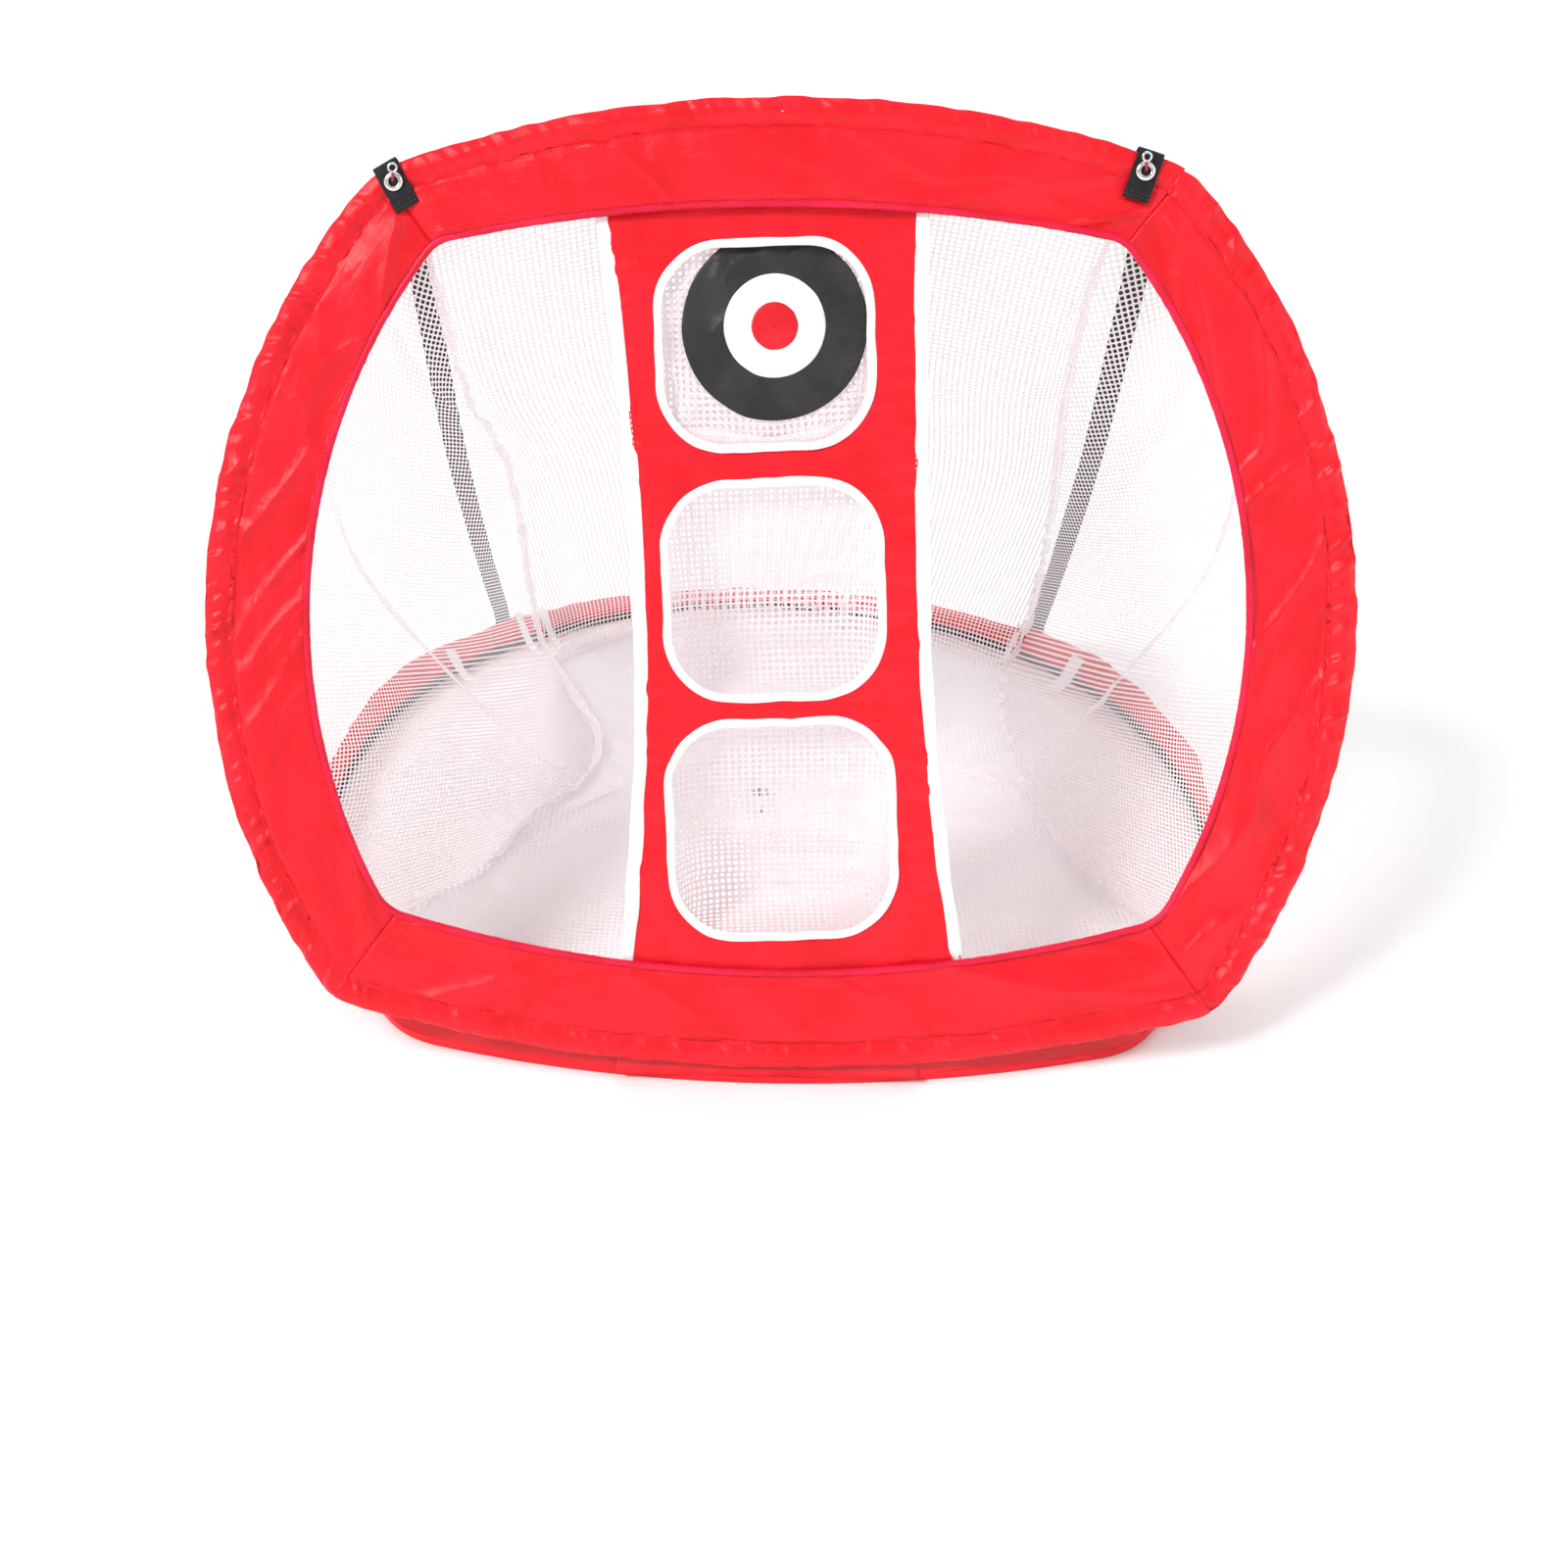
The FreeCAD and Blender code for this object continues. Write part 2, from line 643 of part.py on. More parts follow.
ROOF_HALF_WIDTH = 352.0
ROOF_FOOT_CORNER, ROOF_FOOT_MIDDLE = (350, 943), (0, 1050)
roof_reach = FRONT.high[1] - size("hem_width") / 2
roof_edge = FRONT.high[0].y + math.sqrt(roof_reach ** 2 - ROOF_HALF_WIDTH ** 2)
roof_middle = FRONT.high[0].y + roof_reach
front_points = [
    Vector(-ROOF_HALF_WIDTH, roof_edge, -NET_BEHIND_HEM),
    Vector(0, roof_middle, -NET_BEHIND_HEM),
    Vector(ROOF_HALF_WIDTH, roof_edge, -NET_BEHIND_HEM),
]
base_points = [
    Vector(-ROOF_FOOT_CORNER[0], ROOF_FOOT_CORNER[1], NET_FOOT_LEVEL),
    Vector(*ROOF_FOOT_MIDDLE, NET_FOOT_LEVEL),
    Vector(*ROOF_FOOT_CORNER, NET_FOOT_LEVEL),
]
forward = Vector(0, -1, 0)
add_shape("net_roof", net_sheet(front_points, base_points, [forward] * 3, [forward] * 3), Placement())

# ---------------------------------------------------------------- stay straps and their anchors
STRAP_TOP = Vector(355, 852, -NET_BEHIND_HEM - 15)
ANCHOR_TURNS = {"left": 46.5, "right": 43.2}
base_centre = size("base_depth") - size("base_rear_radius")
ANCHOR_GAP = 1.2
STRAP_STANDOFF = 8.0
STRAP_FACING = (0.73, 0.68)
for side, word in ((-1, "left"), (1, "right")):
    angle = math.radians(ANCHOR_TURNS[word])
    outward = Vector(side * math.cos(angle), math.sin(angle), 0)
    round_tangent = Vector(-outward.y, outward.x, 0)
    reach = size("base_rear_radius") + ANCHOR_GAP
    foot = BASE.multVec(Vector(0, base_centre, 0)) + outward * reach
    anchor = doc.addObject("Part::Box", f"strap_anchor_{word}")
    bind(
        anchor,
        Length="Dimensions.strap_width",
        Width="Dimensions.strap_thick",
        Height="Dimensions.anchor_height",
    )
    anchor_turn = Rotation(round_tangent, outward, Vector(0, 0, 1), "ZXY")
    anchor_axis = anchor_turn.multVec(Vector(1, 0, 0))
    anchor_corner = foot - anchor_axis * (size("strap_width") / 2) + Vector(0, 0, sleeve_top + 1)
    add_part(anchor, Placement(anchor_corner, anchor_turn))

    upper = PANEL.multVec(Vector(side * STRAP_TOP.x, STRAP_TOP.y, STRAP_TOP.z))
    anchor_top = sleeve_top + size("anchor_height")
    lower = foot + outward * STRAP_STANDOFF + Vector(0, 0, anchor_top + STRAP_STANDOFF)
    run = lower.sub(upper)
    strap = doc.addObject("Part::Box", f"strap_{word}")
    strap.Length = run.Length
    bind(strap, Width="Dimensions.strap_width", Height="Dimensions.strap_thick")
    along = Vector(run).normalize()
    facing = Vector(0, STRAP_FACING[0], STRAP_FACING[1])
    strap_turn = Rotation(along, Vector(), facing, "XZY")
    across = strap_turn.multVec(Vector(0, 1, 0))
    add_part(strap, Placement(upper - across * (size("strap_width") / 2), strap_turn))

# ---------------------------------------------------------------- checks and export
doc.recompute()
for item in doc.Objects:
    if "Invalid" in item.State or "Error" in item.State:
        raise RuntimeError(f"{item.Name} failed: {item.State}")
for item in parts:
    if item.Shape.isNull() or not item.Shape.isValid():
        raise RuntimeError(f"{item.Name} has no valid shape")
os.makedirs("parts", exist_ok=True)
for item in parts:
    item.Shape.exportStep(f"parts/{item.Label}.step")
    box = item.Shape.BoundBox
    print(
        f"{item.Label:22s} solids {len(item.Shape.Solids)} volume {item.Shape.Volume / 1000:9.2f} cm3"
        f"  x {box.XMin:7.1f} {box.XMax:7.1f}"
        f"  y {box.YMin:7.1f} {box.YMax:7.1f}"
        f"  z {box.ZMin:6.1f} {box.ZMax:6.1f}"
    )
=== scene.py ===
"""Golf chipping net: cloth, netting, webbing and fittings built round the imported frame."""
import json
import math

import bpy
import numpy as np
from mathutils import Matrix, Vector


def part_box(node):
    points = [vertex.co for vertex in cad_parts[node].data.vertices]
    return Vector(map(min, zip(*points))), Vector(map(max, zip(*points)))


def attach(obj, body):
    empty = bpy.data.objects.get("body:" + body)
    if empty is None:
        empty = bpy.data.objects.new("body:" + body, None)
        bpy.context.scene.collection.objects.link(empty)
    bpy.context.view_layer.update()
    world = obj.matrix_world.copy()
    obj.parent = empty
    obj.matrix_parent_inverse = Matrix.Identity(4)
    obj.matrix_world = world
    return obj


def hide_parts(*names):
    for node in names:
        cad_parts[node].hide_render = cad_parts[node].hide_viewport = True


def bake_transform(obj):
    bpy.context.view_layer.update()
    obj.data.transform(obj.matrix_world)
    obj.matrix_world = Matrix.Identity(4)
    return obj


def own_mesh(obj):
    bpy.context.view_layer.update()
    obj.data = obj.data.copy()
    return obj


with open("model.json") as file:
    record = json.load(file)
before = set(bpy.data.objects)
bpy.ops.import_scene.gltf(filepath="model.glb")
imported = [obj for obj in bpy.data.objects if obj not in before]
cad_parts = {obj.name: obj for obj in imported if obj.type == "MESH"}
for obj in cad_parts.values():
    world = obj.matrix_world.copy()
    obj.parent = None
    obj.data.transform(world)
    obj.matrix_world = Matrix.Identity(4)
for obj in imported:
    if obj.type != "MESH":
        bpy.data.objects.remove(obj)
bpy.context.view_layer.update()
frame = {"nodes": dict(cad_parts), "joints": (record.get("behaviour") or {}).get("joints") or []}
scene = bpy.context.scene
scene.view_settings.view_transform = "Standard"

MM = 0.001
DEG = math.pi / 180

# ---------------------------------------------------------------- camera
EYE = Vector((-0.0369, -1.8366, 1.1501))
YAW, PITCH, ROLL = -2.8 * DEG, 27.69 * DEG, -0.76 * DEG
SHIFT_X, SHIFT_Y = 0.0789, -0.0769
right = Vector((math.cos(YAW), -math.sin(YAW), 0))
ahead = Vector((math.sin(YAW) * math.cos(PITCH), math.cos(YAW) * math.cos(PITCH), -math.sin(PITCH)))
above = right.cross(ahead)
rolled_right = right * math.cos(ROLL) + above * math.sin(ROLL)
rolled_above = above * math.cos(ROLL) - right * math.sin(ROLL)
camera_data = bpy.data.cameras.new("camera")
camera_data.lens = 38.67
camera_data.sensor_width = 36
camera_data.shift_x, camera_data.shift_y = SHIFT_X, SHIFT_Y
camera = bpy.data.objects.new("camera", camera_data)
turn = Matrix((rolled_right, rolled_above, -ahead)).transposed().to_4x4()
camera.matrix_world = Matrix.Translation(EYE) @ turn
scene.collection.objects.link(camera)
scene.camera = camera

# ---------------------------------------------------------------- frames
LEAN = 20 * DEG
fold = next(j for j in frame["joints"] if j["name"] == "panel_fold")
HINGE = np.array(fold["pos_m"])
HEM_BACK = np.array([0, -0.6, -5.6]) * MM


def turned(u, v, n):
    """Panel directions (across, up the panel, out of its front) as row directions."""
    u, v, n = np.broadcast_arrays(u, v, n)
    y = v * math.sin(LEAN) - n * math.cos(LEAN)
    z = v * math.cos(LEAN) + n * math.sin(LEAN)
    return np.stack([u + 0 * y, y, z], axis=-1)


OUT = turned(0.0, 0.0, 1.0)
PANEL_ORIGIN = HINGE - turned(*HEM_BACK)
BASE_SHIFT = -0.548
STRIP_LEVEL, STRIP_SLANT = 472.0, 2.5 * DEG


def panel(u, v, n=0.0):
    """Panel millimetres to row metres."""
    return PANEL_ORIGIN + turned(np.asarray(u, float), v, n) * MM


def strip(u, v, n=0.0):
    """Centre-strip millimetres to row metres."""
    u, v = np.asarray(u, float), np.asarray(v, float)
    x = u * math.cos(STRIP_SLANT) - v * math.sin(STRIP_SLANT)
    y = u * math.sin(STRIP_SLANT) + v * math.cos(STRIP_SLANT)
    return panel(x, STRIP_LEVEL + y, n)


def floor_frame(x, y, z=0.0):
    """Base-ring millimetres, measured from its front edge, to row metres."""
    x, y, z = np.broadcast_arrays(np.asarray(x, float), y, z)
    return np.stack([x, y, z], axis=-1) * MM + np.array([0, BASE_SHIFT, 0])


# ---------------------------------------------------------------- noise
def lattice(ix, iy, seed):
    value = np.sin(ix * 127.1 + iy * 311.7 + seed * 74.7) * 43758.5453
    return (value - np.floor(value)) * 2 - 1


def noise(x, y=0.0, seed=0):
    """Smooth values from -1 to 1 that repeat exactly on every run."""
    x, y = np.broadcast_arrays(np.asarray(x, float), np.asarray(y, float))
    ix, iy = np.floor(x), np.floor(y)
    fx, fy = x - ix, y - iy
    fx, fy = fx * fx * (3 - 2 * fx), fy * fy * (3 - 2 * fy)
    low = lattice(ix, iy, seed) * (1 - fx) + lattice(ix + 1, iy, seed) * fx
    high = lattice(ix, iy + 1, seed) * (1 - fx) + lattice(ix + 1, iy + 1, seed) * fx
    return low * (1 - fy) + high * fy


def creases(x, y, seed=0):
    """Sharp-backed folds from 0 to 1."""
    return (1 - np.abs(noise(x, y, seed))) ** 3


def smooth(t):
    t = np.clip(t, 0, 1)
    return t * t * (3 - 2 * t)


# ---------------------------------------------------------------- outlines
class Barrel:
    """A closed line of eight tangent arcs, read by the direction its outward normal points in."""

    def __init__(self, width, height, low, side, high, side_level, low_corner, high_corner, bottom=0.0):
        self.low = (np.array([0.0, bottom + low]), low)
        self.high = (np.array([0.0, bottom + height - high]), high)
        self.side = (np.array([width / 2 - side, bottom + side_level]), side)
        self.low_corner = (self.corner(self.low, low_corner, -1), low_corner)
        self.high_corner = (self.corner(self.high, high_corner, 1), high_corner)
        pairs = (
            (self.low, self.low_corner), (self.side, self.low_corner),
            (self.side, self.high_corner), (self.high, self.high_corner),
        )
        self.turns = [math.atan2(*(small[0] - big[0])[::-1]) for big, small in pairs]

    def corner(self, end, radius, up):
        centre, reach = end[0], end[1] - radius
        other, other_reach = self.side[0], self.side[1] - radius
        gap = other - centre
        distance = np.linalg.norm(gap)
        along = (reach ** 2 - other_reach ** 2 + distance ** 2) / (2 * distance)
        across = math.sqrt(reach ** 2 - along ** 2)
        unit = gap / distance
        normal = np.array([-unit[1], unit[0]])
        choices = [centre + unit * along + normal * across * sign for sign in (1, -1)]
        return max(choices, key=lambda point: point[0] + up * point[1])

    def at(self, phi, inset=0.0):
        """Points of the line for normal directions phi, in radians, with -90 degrees at the bottom."""
        phi = (np.asarray(phi, float) + math.pi / 2) % (2 * math.pi) - math.pi / 2
        left = phi > math.pi / 2
        folded = np.where(left, math.pi - phi, phi)
        arcs = (self.low, self.low_corner, self.side, self.high_corner, self.high)
        which = np.searchsorted(self.turns, folded)
        centres = np.array([arc[0] for arc in arcs])[which]
        radii = np.array([arc[1] for arc in arcs])[which] - inset
        x = centres[..., 0] + radii * np.cos(folded)
        y = centres[..., 1] + radii * np.sin(folded)
        return np.stack([np.where(left, -x, x), y], axis=-1)

    def spaced(self, start, end, count, inset=0.0):
        """Normal directions that are evenly spaced along the line."""
        dense = np.linspace(start, end, 4000)
        points = self.at(dense, inset)
        run = run_along(points)
        return np.interp(np.linspace(0, run[-1], count), run, dense), run[-1]

    def crossing(self, apex, through, inset=0.0):
        """Where a ray from a point on the middle line meets the right-hand half."""
        dense = np.linspace(-math.pi / 2 + 1e-4, math.pi / 2 - 1e-4, 20000)
        apex, through = np.array(apex, float), np.array(through, float)
        aim = through - apex
        offset = self.at(dense, inset) - apex
        side = aim[0] * offset[:, 1] - aim[1] * offset[:, 0]
        hits = np.nonzero((np.diff(np.sign(side)) != 0) & ((offset[:-1] @ aim) > 0))[0]
        return dense[hits[0]]


FRONT = Barrel(1100, 930, 1550, 633, 1108, 427, 60, 70)
OPENING = Barrel(900, 737, 1265, 580, 1560, 337, 45, 35, 97)
FOOTPRINT = Barrel(1096, 1096, 1250, 700, 548, 520, 110, 480)
LOW_MITRE = ((0, 656), (434, 62))
HIGH_MITRE = ((0, 379), (374, 865))
SIDE_WORDS = ("bottom", "right", "top", "left")


def quarter(outline, word, inset=0.0, low=LOW_MITRE, high=HIGH_MITRE):
    """First and last normal direction of a quarter of the line, in order round the line."""
    a = outline.crossing(*low, inset)
    b = outline.crossing(*high, inset)
    spans = {
        "bottom": (-math.pi - a, a), "right": (a, b),
        "top": (b, math.pi - b), "left": (math.pi - b, math.pi - a),
    }
    return spans[word]


# ---------------------------------------------------------------- lines
def unit(rows):
    """Rows scaled to a length of one."""
    return rows / np.linalg.norm(rows, axis=1)[:, None]


def run_along(path):
    """Distance along a path at each of its points."""
    return np.concatenate([[0], np.cumsum(np.linalg.norm(np.diff(path, axis=0), axis=1))])


def thread(line, direction=OUT):
    """A line of stitches: its points, each with the direction that the threads face."""
    return np.concatenate([line, np.broadcast_to(direction, line.shape)], axis=1)


# ---------------------------------------------------------------- mesh making
def make(name, verts, faces, finish, uv):
    mesh = bpy.data.meshes.new(name)
    corners = [tuple(v) for v in np.asarray(verts, float)]
    mesh.from_pydata(corners, [], [tuple(int(i) for i in f) for f in faces])
    layer = mesh.uv_layers.new(name="UVMap")
    index = np.zeros(len(mesh.loops), int)
    mesh.loops.foreach_get("vertex_index", index)
    layer.data.foreach_set("uv", np.asarray(uv, np.float32)[index].ravel())
    mesh.polygons.foreach_set("use_smooth", [True] * len(mesh.polygons))
    mesh.materials.append(finish)
    mesh.update()
    piece = bpy.data.objects.new(name, mesh)
    scene.collection.objects.link(piece)
    return piece


def grid_faces(rows, columns, wrap_rows=False, wrap_columns=False, start=0, flip=False):
    r = np.arange(rows if wrap_rows else rows - 1)
    c = np.arange(columns if wrap_columns else columns - 1)
    r, c = np.meshgrid(r, c, indexing="ij")
    r2, c2 = (r + 1) % rows, (c + 1) % columns
    quads = [r * columns + c, r2 * columns + c, r2 * columns + c2, r * columns + c2]
    faces = np.stack([q.ravel() for q in quads], axis=1) + start
    return faces[:, ::-1] if flip else faces


def surface_uv(points):
    """UVs in metres from the lengths along the rows and columns of a grid."""
    along = np.linalg.norm(np.diff(points, axis=0), axis=2).mean(axis=1)
    across = np.linalg.norm(np.diff(points, axis=1), axis=2)
    u = np.concatenate([[0], np.cumsum(along)])
    v = np.concatenate([np.zeros((points.shape[0], 1)), np.cumsum(across, axis=1)], axis=1)
    return np.stack([np.broadcast_to(u[:, None], v.shape), v - v[:, -1:] / 2], axis=-1)


def sheet_mesh(name, points, finish, thick=0.0, flip=False):
    """A cloth grid, optionally given a thickness either side of its middle."""
    faces = grid_faces(*points.shape[:2], flip=flip)
    piece = make(name, points.reshape(-1, 3), faces, finish, surface_uv(points).reshape(-1, 2))
    if thick:
        thicken(piece, thick)
    return piece


def thicken(piece, thick):
    """Give a sheet a thickness, half on each side."""
    solid = piece.modifiers.new("thickness", "SOLIDIFY")
    solid.thickness, solid.offset = thick, 0.0
    bpy.context.view_layer.update()
    evaluated = piece.evaluated_get(bpy.context.evaluated_depsgraph_get())
    mesh = bpy.data.meshes.new_from_object(evaluated)
    piece.modifiers.clear()
    piece.data = mesh


def tube_points(path, sides, radius, closed=False):
    """Rings of points round a path that lies on the panel."""
    path = np.asarray(path, float)
    if closed:
        along = unit(np.roll(path, -1, axis=0) - np.roll(path, 1, axis=0))
    else:
        along = unit(np.gradient(path, axis=0))
    normals = np.broadcast_to(OUT, path.shape)
    normals = unit(normals - along * (normals * along).sum(1)[:, None])
    across = np.cross(along, normals)
    angle = np.linspace(0, 2 * math.pi, sides, endpoint=False)[None, :]
    radius = np.broadcast_to(radius, (len(path), sides))
    return (path[:, None] + across[:, None] * (np.cos(angle) * radius)[..., None]
            + normals[:, None] * (np.sin(angle) * radius)[..., None])


def tube(name, rings, finish, closed=False):
    rows, sides = rings.shape[:2]
    faces = [tuple(f) for f in grid_faces(rows, sides, wrap_rows=closed, wrap_columns=True)]
    if not closed:
        faces += [tuple(range(sides))[::-1], tuple(range((rows - 1) * sides, rows * sides))]
    u, v = run_along(rings.mean(axis=1)), run_along(rings[0])
    uv = np.stack(np.broadcast_arrays(u[:, None], v[None, :]), axis=-1)
    return make(name, rings.reshape(-1, 3), faces, finish, uv.reshape(-1, 2))


def resample(path, step, closed=False):
    """The path's columns at evenly spaced places along it."""
    path = np.asarray(path, float)
    whole = np.concatenate([path, path[:1]]) if closed else path
    run = run_along(whole[:, :3])
    count = max(2, int(run[-1] / step))
    spots = np.linspace(0, run[-1], count, endpoint=not closed)
    return np.stack([np.interp(spots, run, whole[:, k]) for k in range(whole.shape[1])], axis=1)


STITCH_LENGTH, STITCH_PITCH, STITCH_RADIUS = 3.2 * MM, 5.0 * MM, 0.35 * MM
STITCH_SIDES = 6


def stitches(name, paths, finish, length=STITCH_LENGTH, pitch=STITCH_PITCH, radius=STITCH_RADIUS):
    """Short raised threads along paths of (x, y, z, nx, ny, nz) rows."""
    verts, faces = [], []
    ring = np.linspace(0, 2 * math.pi, STITCH_SIDES, endpoint=False)
    for path in paths:
        spots = resample(path, pitch)
        along = unit(np.gradient(spots[:, :3], axis=0))
        normal = unit(spots[:, 3:])
        across = np.cross(along, normal)
        for k in range(len(spots)):
            start = len(verts)
            for reach, size in ((-0.5, 0.25), (-0.3, 1.0), (0.3, 1.0), (0.5, 0.25)):
                lift = radius * (0.5 if size == 1.0 else -0.4)
                centre = spots[k, :3] + along[k] * length * reach + normal[k] * lift
                for a in ring:
                    verts.append(centre + (across[k] * math.cos(a) + normal[k] * math.sin(a)) * radius * size)
            for low in range(start, start + 3 * STITCH_SIDES, STITCH_SIDES):
                high = low + STITCH_SIDES
                for side in range(STITCH_SIDES):
                    other = (side + 1) % STITCH_SIDES
                    faces.append((low + side, low + other, high + other, high + side))
            faces.append(tuple(start + side for side in range(STITCH_SIDES))[::-1])
            faces.append(tuple(high + side for side in range(STITCH_SIDES)))
    return make(name, verts, faces, finish, np.zeros((len(verts), 2)))


def join_grids(name, grids, finish):
    """Several grids as one piece."""
    verts, faces, uvs, start = [], [], [], 0
    for points in grids:
        rows, columns = points.shape[:2]
        verts.append(points.reshape(-1, 3))
        uvs.append(surface_uv(points).reshape(-1, 2))
        faces.append(grid_faces(rows, columns, start=start))
        start += rows * columns
    return make(name, np.concatenate(verts), np.concatenate(faces), finish, np.concatenate(uvs))


# ---------------------------------------------------------------- materials
class Finish:
    """A small helper for node materials on a Principled shader."""

    def __init__(self, name, colour, roughness, **inputs):
        self.material = bpy.data.materials.new(name)
        self.material.use_nodes = True
        self.tree = self.material.node_tree
        self.shader = self.tree.nodes["Principled BSDF"]
        self.shader.inputs["Base Color"].default_value = (*colour, 1)
        self.shader.inputs["Roughness"].default_value = roughness
        for key, value in inputs.items():
            self.shader.inputs[key.replace("_", " ")].default_value = value
        self.uv = self.add("ShaderNodeUVMap").outputs[0]

    def add(self, kind, **values):
        node = self.tree.nodes.new(kind)
        for key, value in values.items():
            setattr(node, key, value)
        return node

    def link(self, source, target):
        if isinstance(source, (int, float)):
            target.default_value = source
        else:
            self.tree.links.new(source, target)

    def math(self, operation, a, b=0.0, c=0.0):
        node = self.add("ShaderNodeMath", operation=operation)
        for socket, value in zip(node.inputs, (a, b, c)):
            self.link(value, socket)
        return node.outputs[0]

    def ramp(self, value, low, high, to_low=0.0, to_high=1.0):
        node = self.add("ShaderNodeMapRange", interpolation_type="SMOOTHSTEP")
        keys = ("Value", "From Min", "From Max", "To Min", "To Max")
        for key, item in zip(keys, (value, low, high, to_low, to_high)):
            self.link(item, node.inputs[key])
        return node.outputs[0]

    def scaled(self, x, y=None):
        """The surface's metres, multiplied."""
        node = self.add("ShaderNodeVectorMath", operation="MULTIPLY")
        self.link(self.uv, node.inputs[0])
        node.inputs[1].default_value = (x, x if y is None else y, 1)
        return node.outputs[0]

    def cloud(self, scale, detail=3.0, roughness=0.5, stretch=None):
        node = self.add("ShaderNodeTexNoise")
        self.link(self.scaled(scale, stretch), node.inputs["Vector"])
        node.inputs["Scale"].default_value = 1.0
        node.inputs["Detail"].default_value = detail
        node.inputs["Roughness"].default_value = roughness
        return node.outputs["Fac"]

    def place_cloud(self, scale, detail=3.0):
        """Noise by place on the object, for metal parts with no surface metres."""
        where = self.add("ShaderNodeTexCoord")
        node = self.add("ShaderNodeTexNoise")
        self.link(where.outputs["Object"], node.inputs["Vector"])
        node.inputs["Scale"].default_value = scale
        node.inputs["Detail"].default_value = detail
        return node.outputs["Fac"]

    def weave(self, pitch, pitch_across=None):
        """Over-and-under threads, 0 to 1."""
        parts = self.add("ShaderNodeSeparateXYZ")
        self.link(self.scaled(math.pi / pitch, math.pi / (pitch_across or pitch)), parts.inputs[0])
        a = self.math("ABSOLUTE", self.math("SINE", parts.outputs[0]))
        b = self.math("ABSOLUTE", self.math("SINE", parts.outputs[1]))
        return self.math("MULTIPLY", self.math("ADD", a, b), 0.5)

    def colours(self, value, low, high):
        node = self.add("ShaderNodeMix", data_type="RGBA")
        self.link(value, node.inputs["Factor"])
        node.inputs[6].default_value = (*low, 1)
        node.inputs[7].default_value = (*high, 1)
        self.link(node.outputs[2], self.shader.inputs["Base Color"])

    def roughness(self, value, low, high):
        self.link(self.ramp(value, 0.2, 0.8, low, high), self.shader.inputs["Roughness"])

    def bump(self, *heights):
        """Stack bumps given as (height, distance, strength)."""
        previous = None
        for height, distance, strength in heights:
            node = self.add("ShaderNodeBump")
            node.inputs["Distance"].default_value = distance
            node.inputs["Strength"].default_value = strength
            self.link(height, node.inputs["Height"])
            if previous is not None:
                self.link(previous, node.inputs["Normal"])
            previous = node.outputs[0]
        self.link(previous, self.shader.inputs["Normal"])


def nylon(name, low, high, rough=(0.28, 0.42), specular=0.27, sheen=0.04):
    f = Finish(name, high, 0.4, Specular_IOR_Level=specular, Sheen_Weight=sheen, Sheen_Roughness=0.4)
    cloud = f.cloud(14, 4)
    f.colours(f.ramp(cloud, 0.3, 0.7), low, high)
    f.roughness(f.cloud(30, 2), *rough)
    f.bump((f.cloud(45, 4, 0.55), 0.004, 0.35), (f.cloud(9, 3, 0.5, 60), 0.006, 0.30),
           (f.weave(0.0007), 0.0002, 0.25))
    return f.material


# The netting's default pink tint is painted light: red light reflected from the nylon onto the white threads.
def netting(name, pitch=0.0066, hole=0.042, colour=(0.93, 0.895, 0.91), density=0.0, painted_glow_strength=0.07):
    f = Finish(name, colour, 0.6, Specular_IOR_Level=0.3, Sheen_Weight=0.2)
    # Painted glow: the netting gives off a faint pink-white light of its own, so it reads brighter than its
    # lamps make it.
    f.shader.inputs["Emission Color"].default_value = (1.0, 0.97, 0.98, 1)
    f.shader.inputs["Emission Strength"].default_value = painted_glow_strength
    parts = f.add("ShaderNodeSeparateXYZ")
    f.link(f.scaled(1 / pitch), parts.inputs[0])
    powers = []
    for axis in (0, 1):
        cell = f.math("ABSOLUTE", f.math("SUBTRACT", f.math("FRACT", parts.outputs[axis]), 0.5))
        powers.append(f.math("POWER", cell, 3.0))
    solid = f.ramp(f.math("ADD", *powers), hole * 0.78, hole * 1.15)
    if density:
        solid = f.math("MAXIMUM", solid, density)
    glow = f.add("ShaderNodeBsdfTranslucent")
    glow.inputs["Color"].default_value = (*colour, 1)
    clear = f.add("ShaderNodeBsdfTransparent")
    cloth = f.add("ShaderNodeMixShader")
    cloth.inputs[0].default_value = 0.42
    f.link(f.shader.outputs[0], cloth.inputs[1])
    f.link(glow.outputs[0], cloth.inputs[2])
    whole = f.add("ShaderNodeMixShader")
    f.link(solid, whole.inputs[0])
    f.link(clear.outputs[0], whole.inputs[1])
    f.link(cloth.outputs[0], whole.inputs[2])
    f.link(whole.outputs[0], f.tree.nodes["Material Output"].inputs["Surface"])
    cloud = f.cloud(18, 3)
    f.colours(cloud, tuple(c * 0.96 for c in colour), colour)
    f.roughness(f.cloud(200, 2), 0.5, 0.72)
    f.bump((f.weave(0.0009), 0.0003, 0.5))
    return f.material


def tape(name, low, high, pitch=0.0011, rough=(0.6, 0.8)):
    f = Finish(name, high, 0.7, Specular_IOR_Level=0.25, Sheen_Weight=0.3)
    f.colours(f.cloud(60, 4), low, high)
    f.roughness(f.cloud(90, 2), *rough)
    f.bump((f.cloud(80, 4), 0.002, 0.3), (f.weave(pitch, pitch * 1.6), 0.0004, 0.6))
    return f.material


def webbing(name):
    f = Finish(name, (0.018, 0.018, 0.02), 0.6, Specular_IOR_Level=0.2, Sheen_Weight=0.06)
    weave = f.weave(0.0014, 0.0023)
    f.colours(f.math("MULTIPLY", weave, f.cloud(70, 3)), (0.005, 0.005, 0.006), (0.030, 0.030, 0.034))
    f.roughness(f.cloud(120, 2), 0.45, 0.7)
    f.bump((weave, 0.0006, 0.8), (f.cloud(500, 3), 0.0003, 0.3))
    return f.material


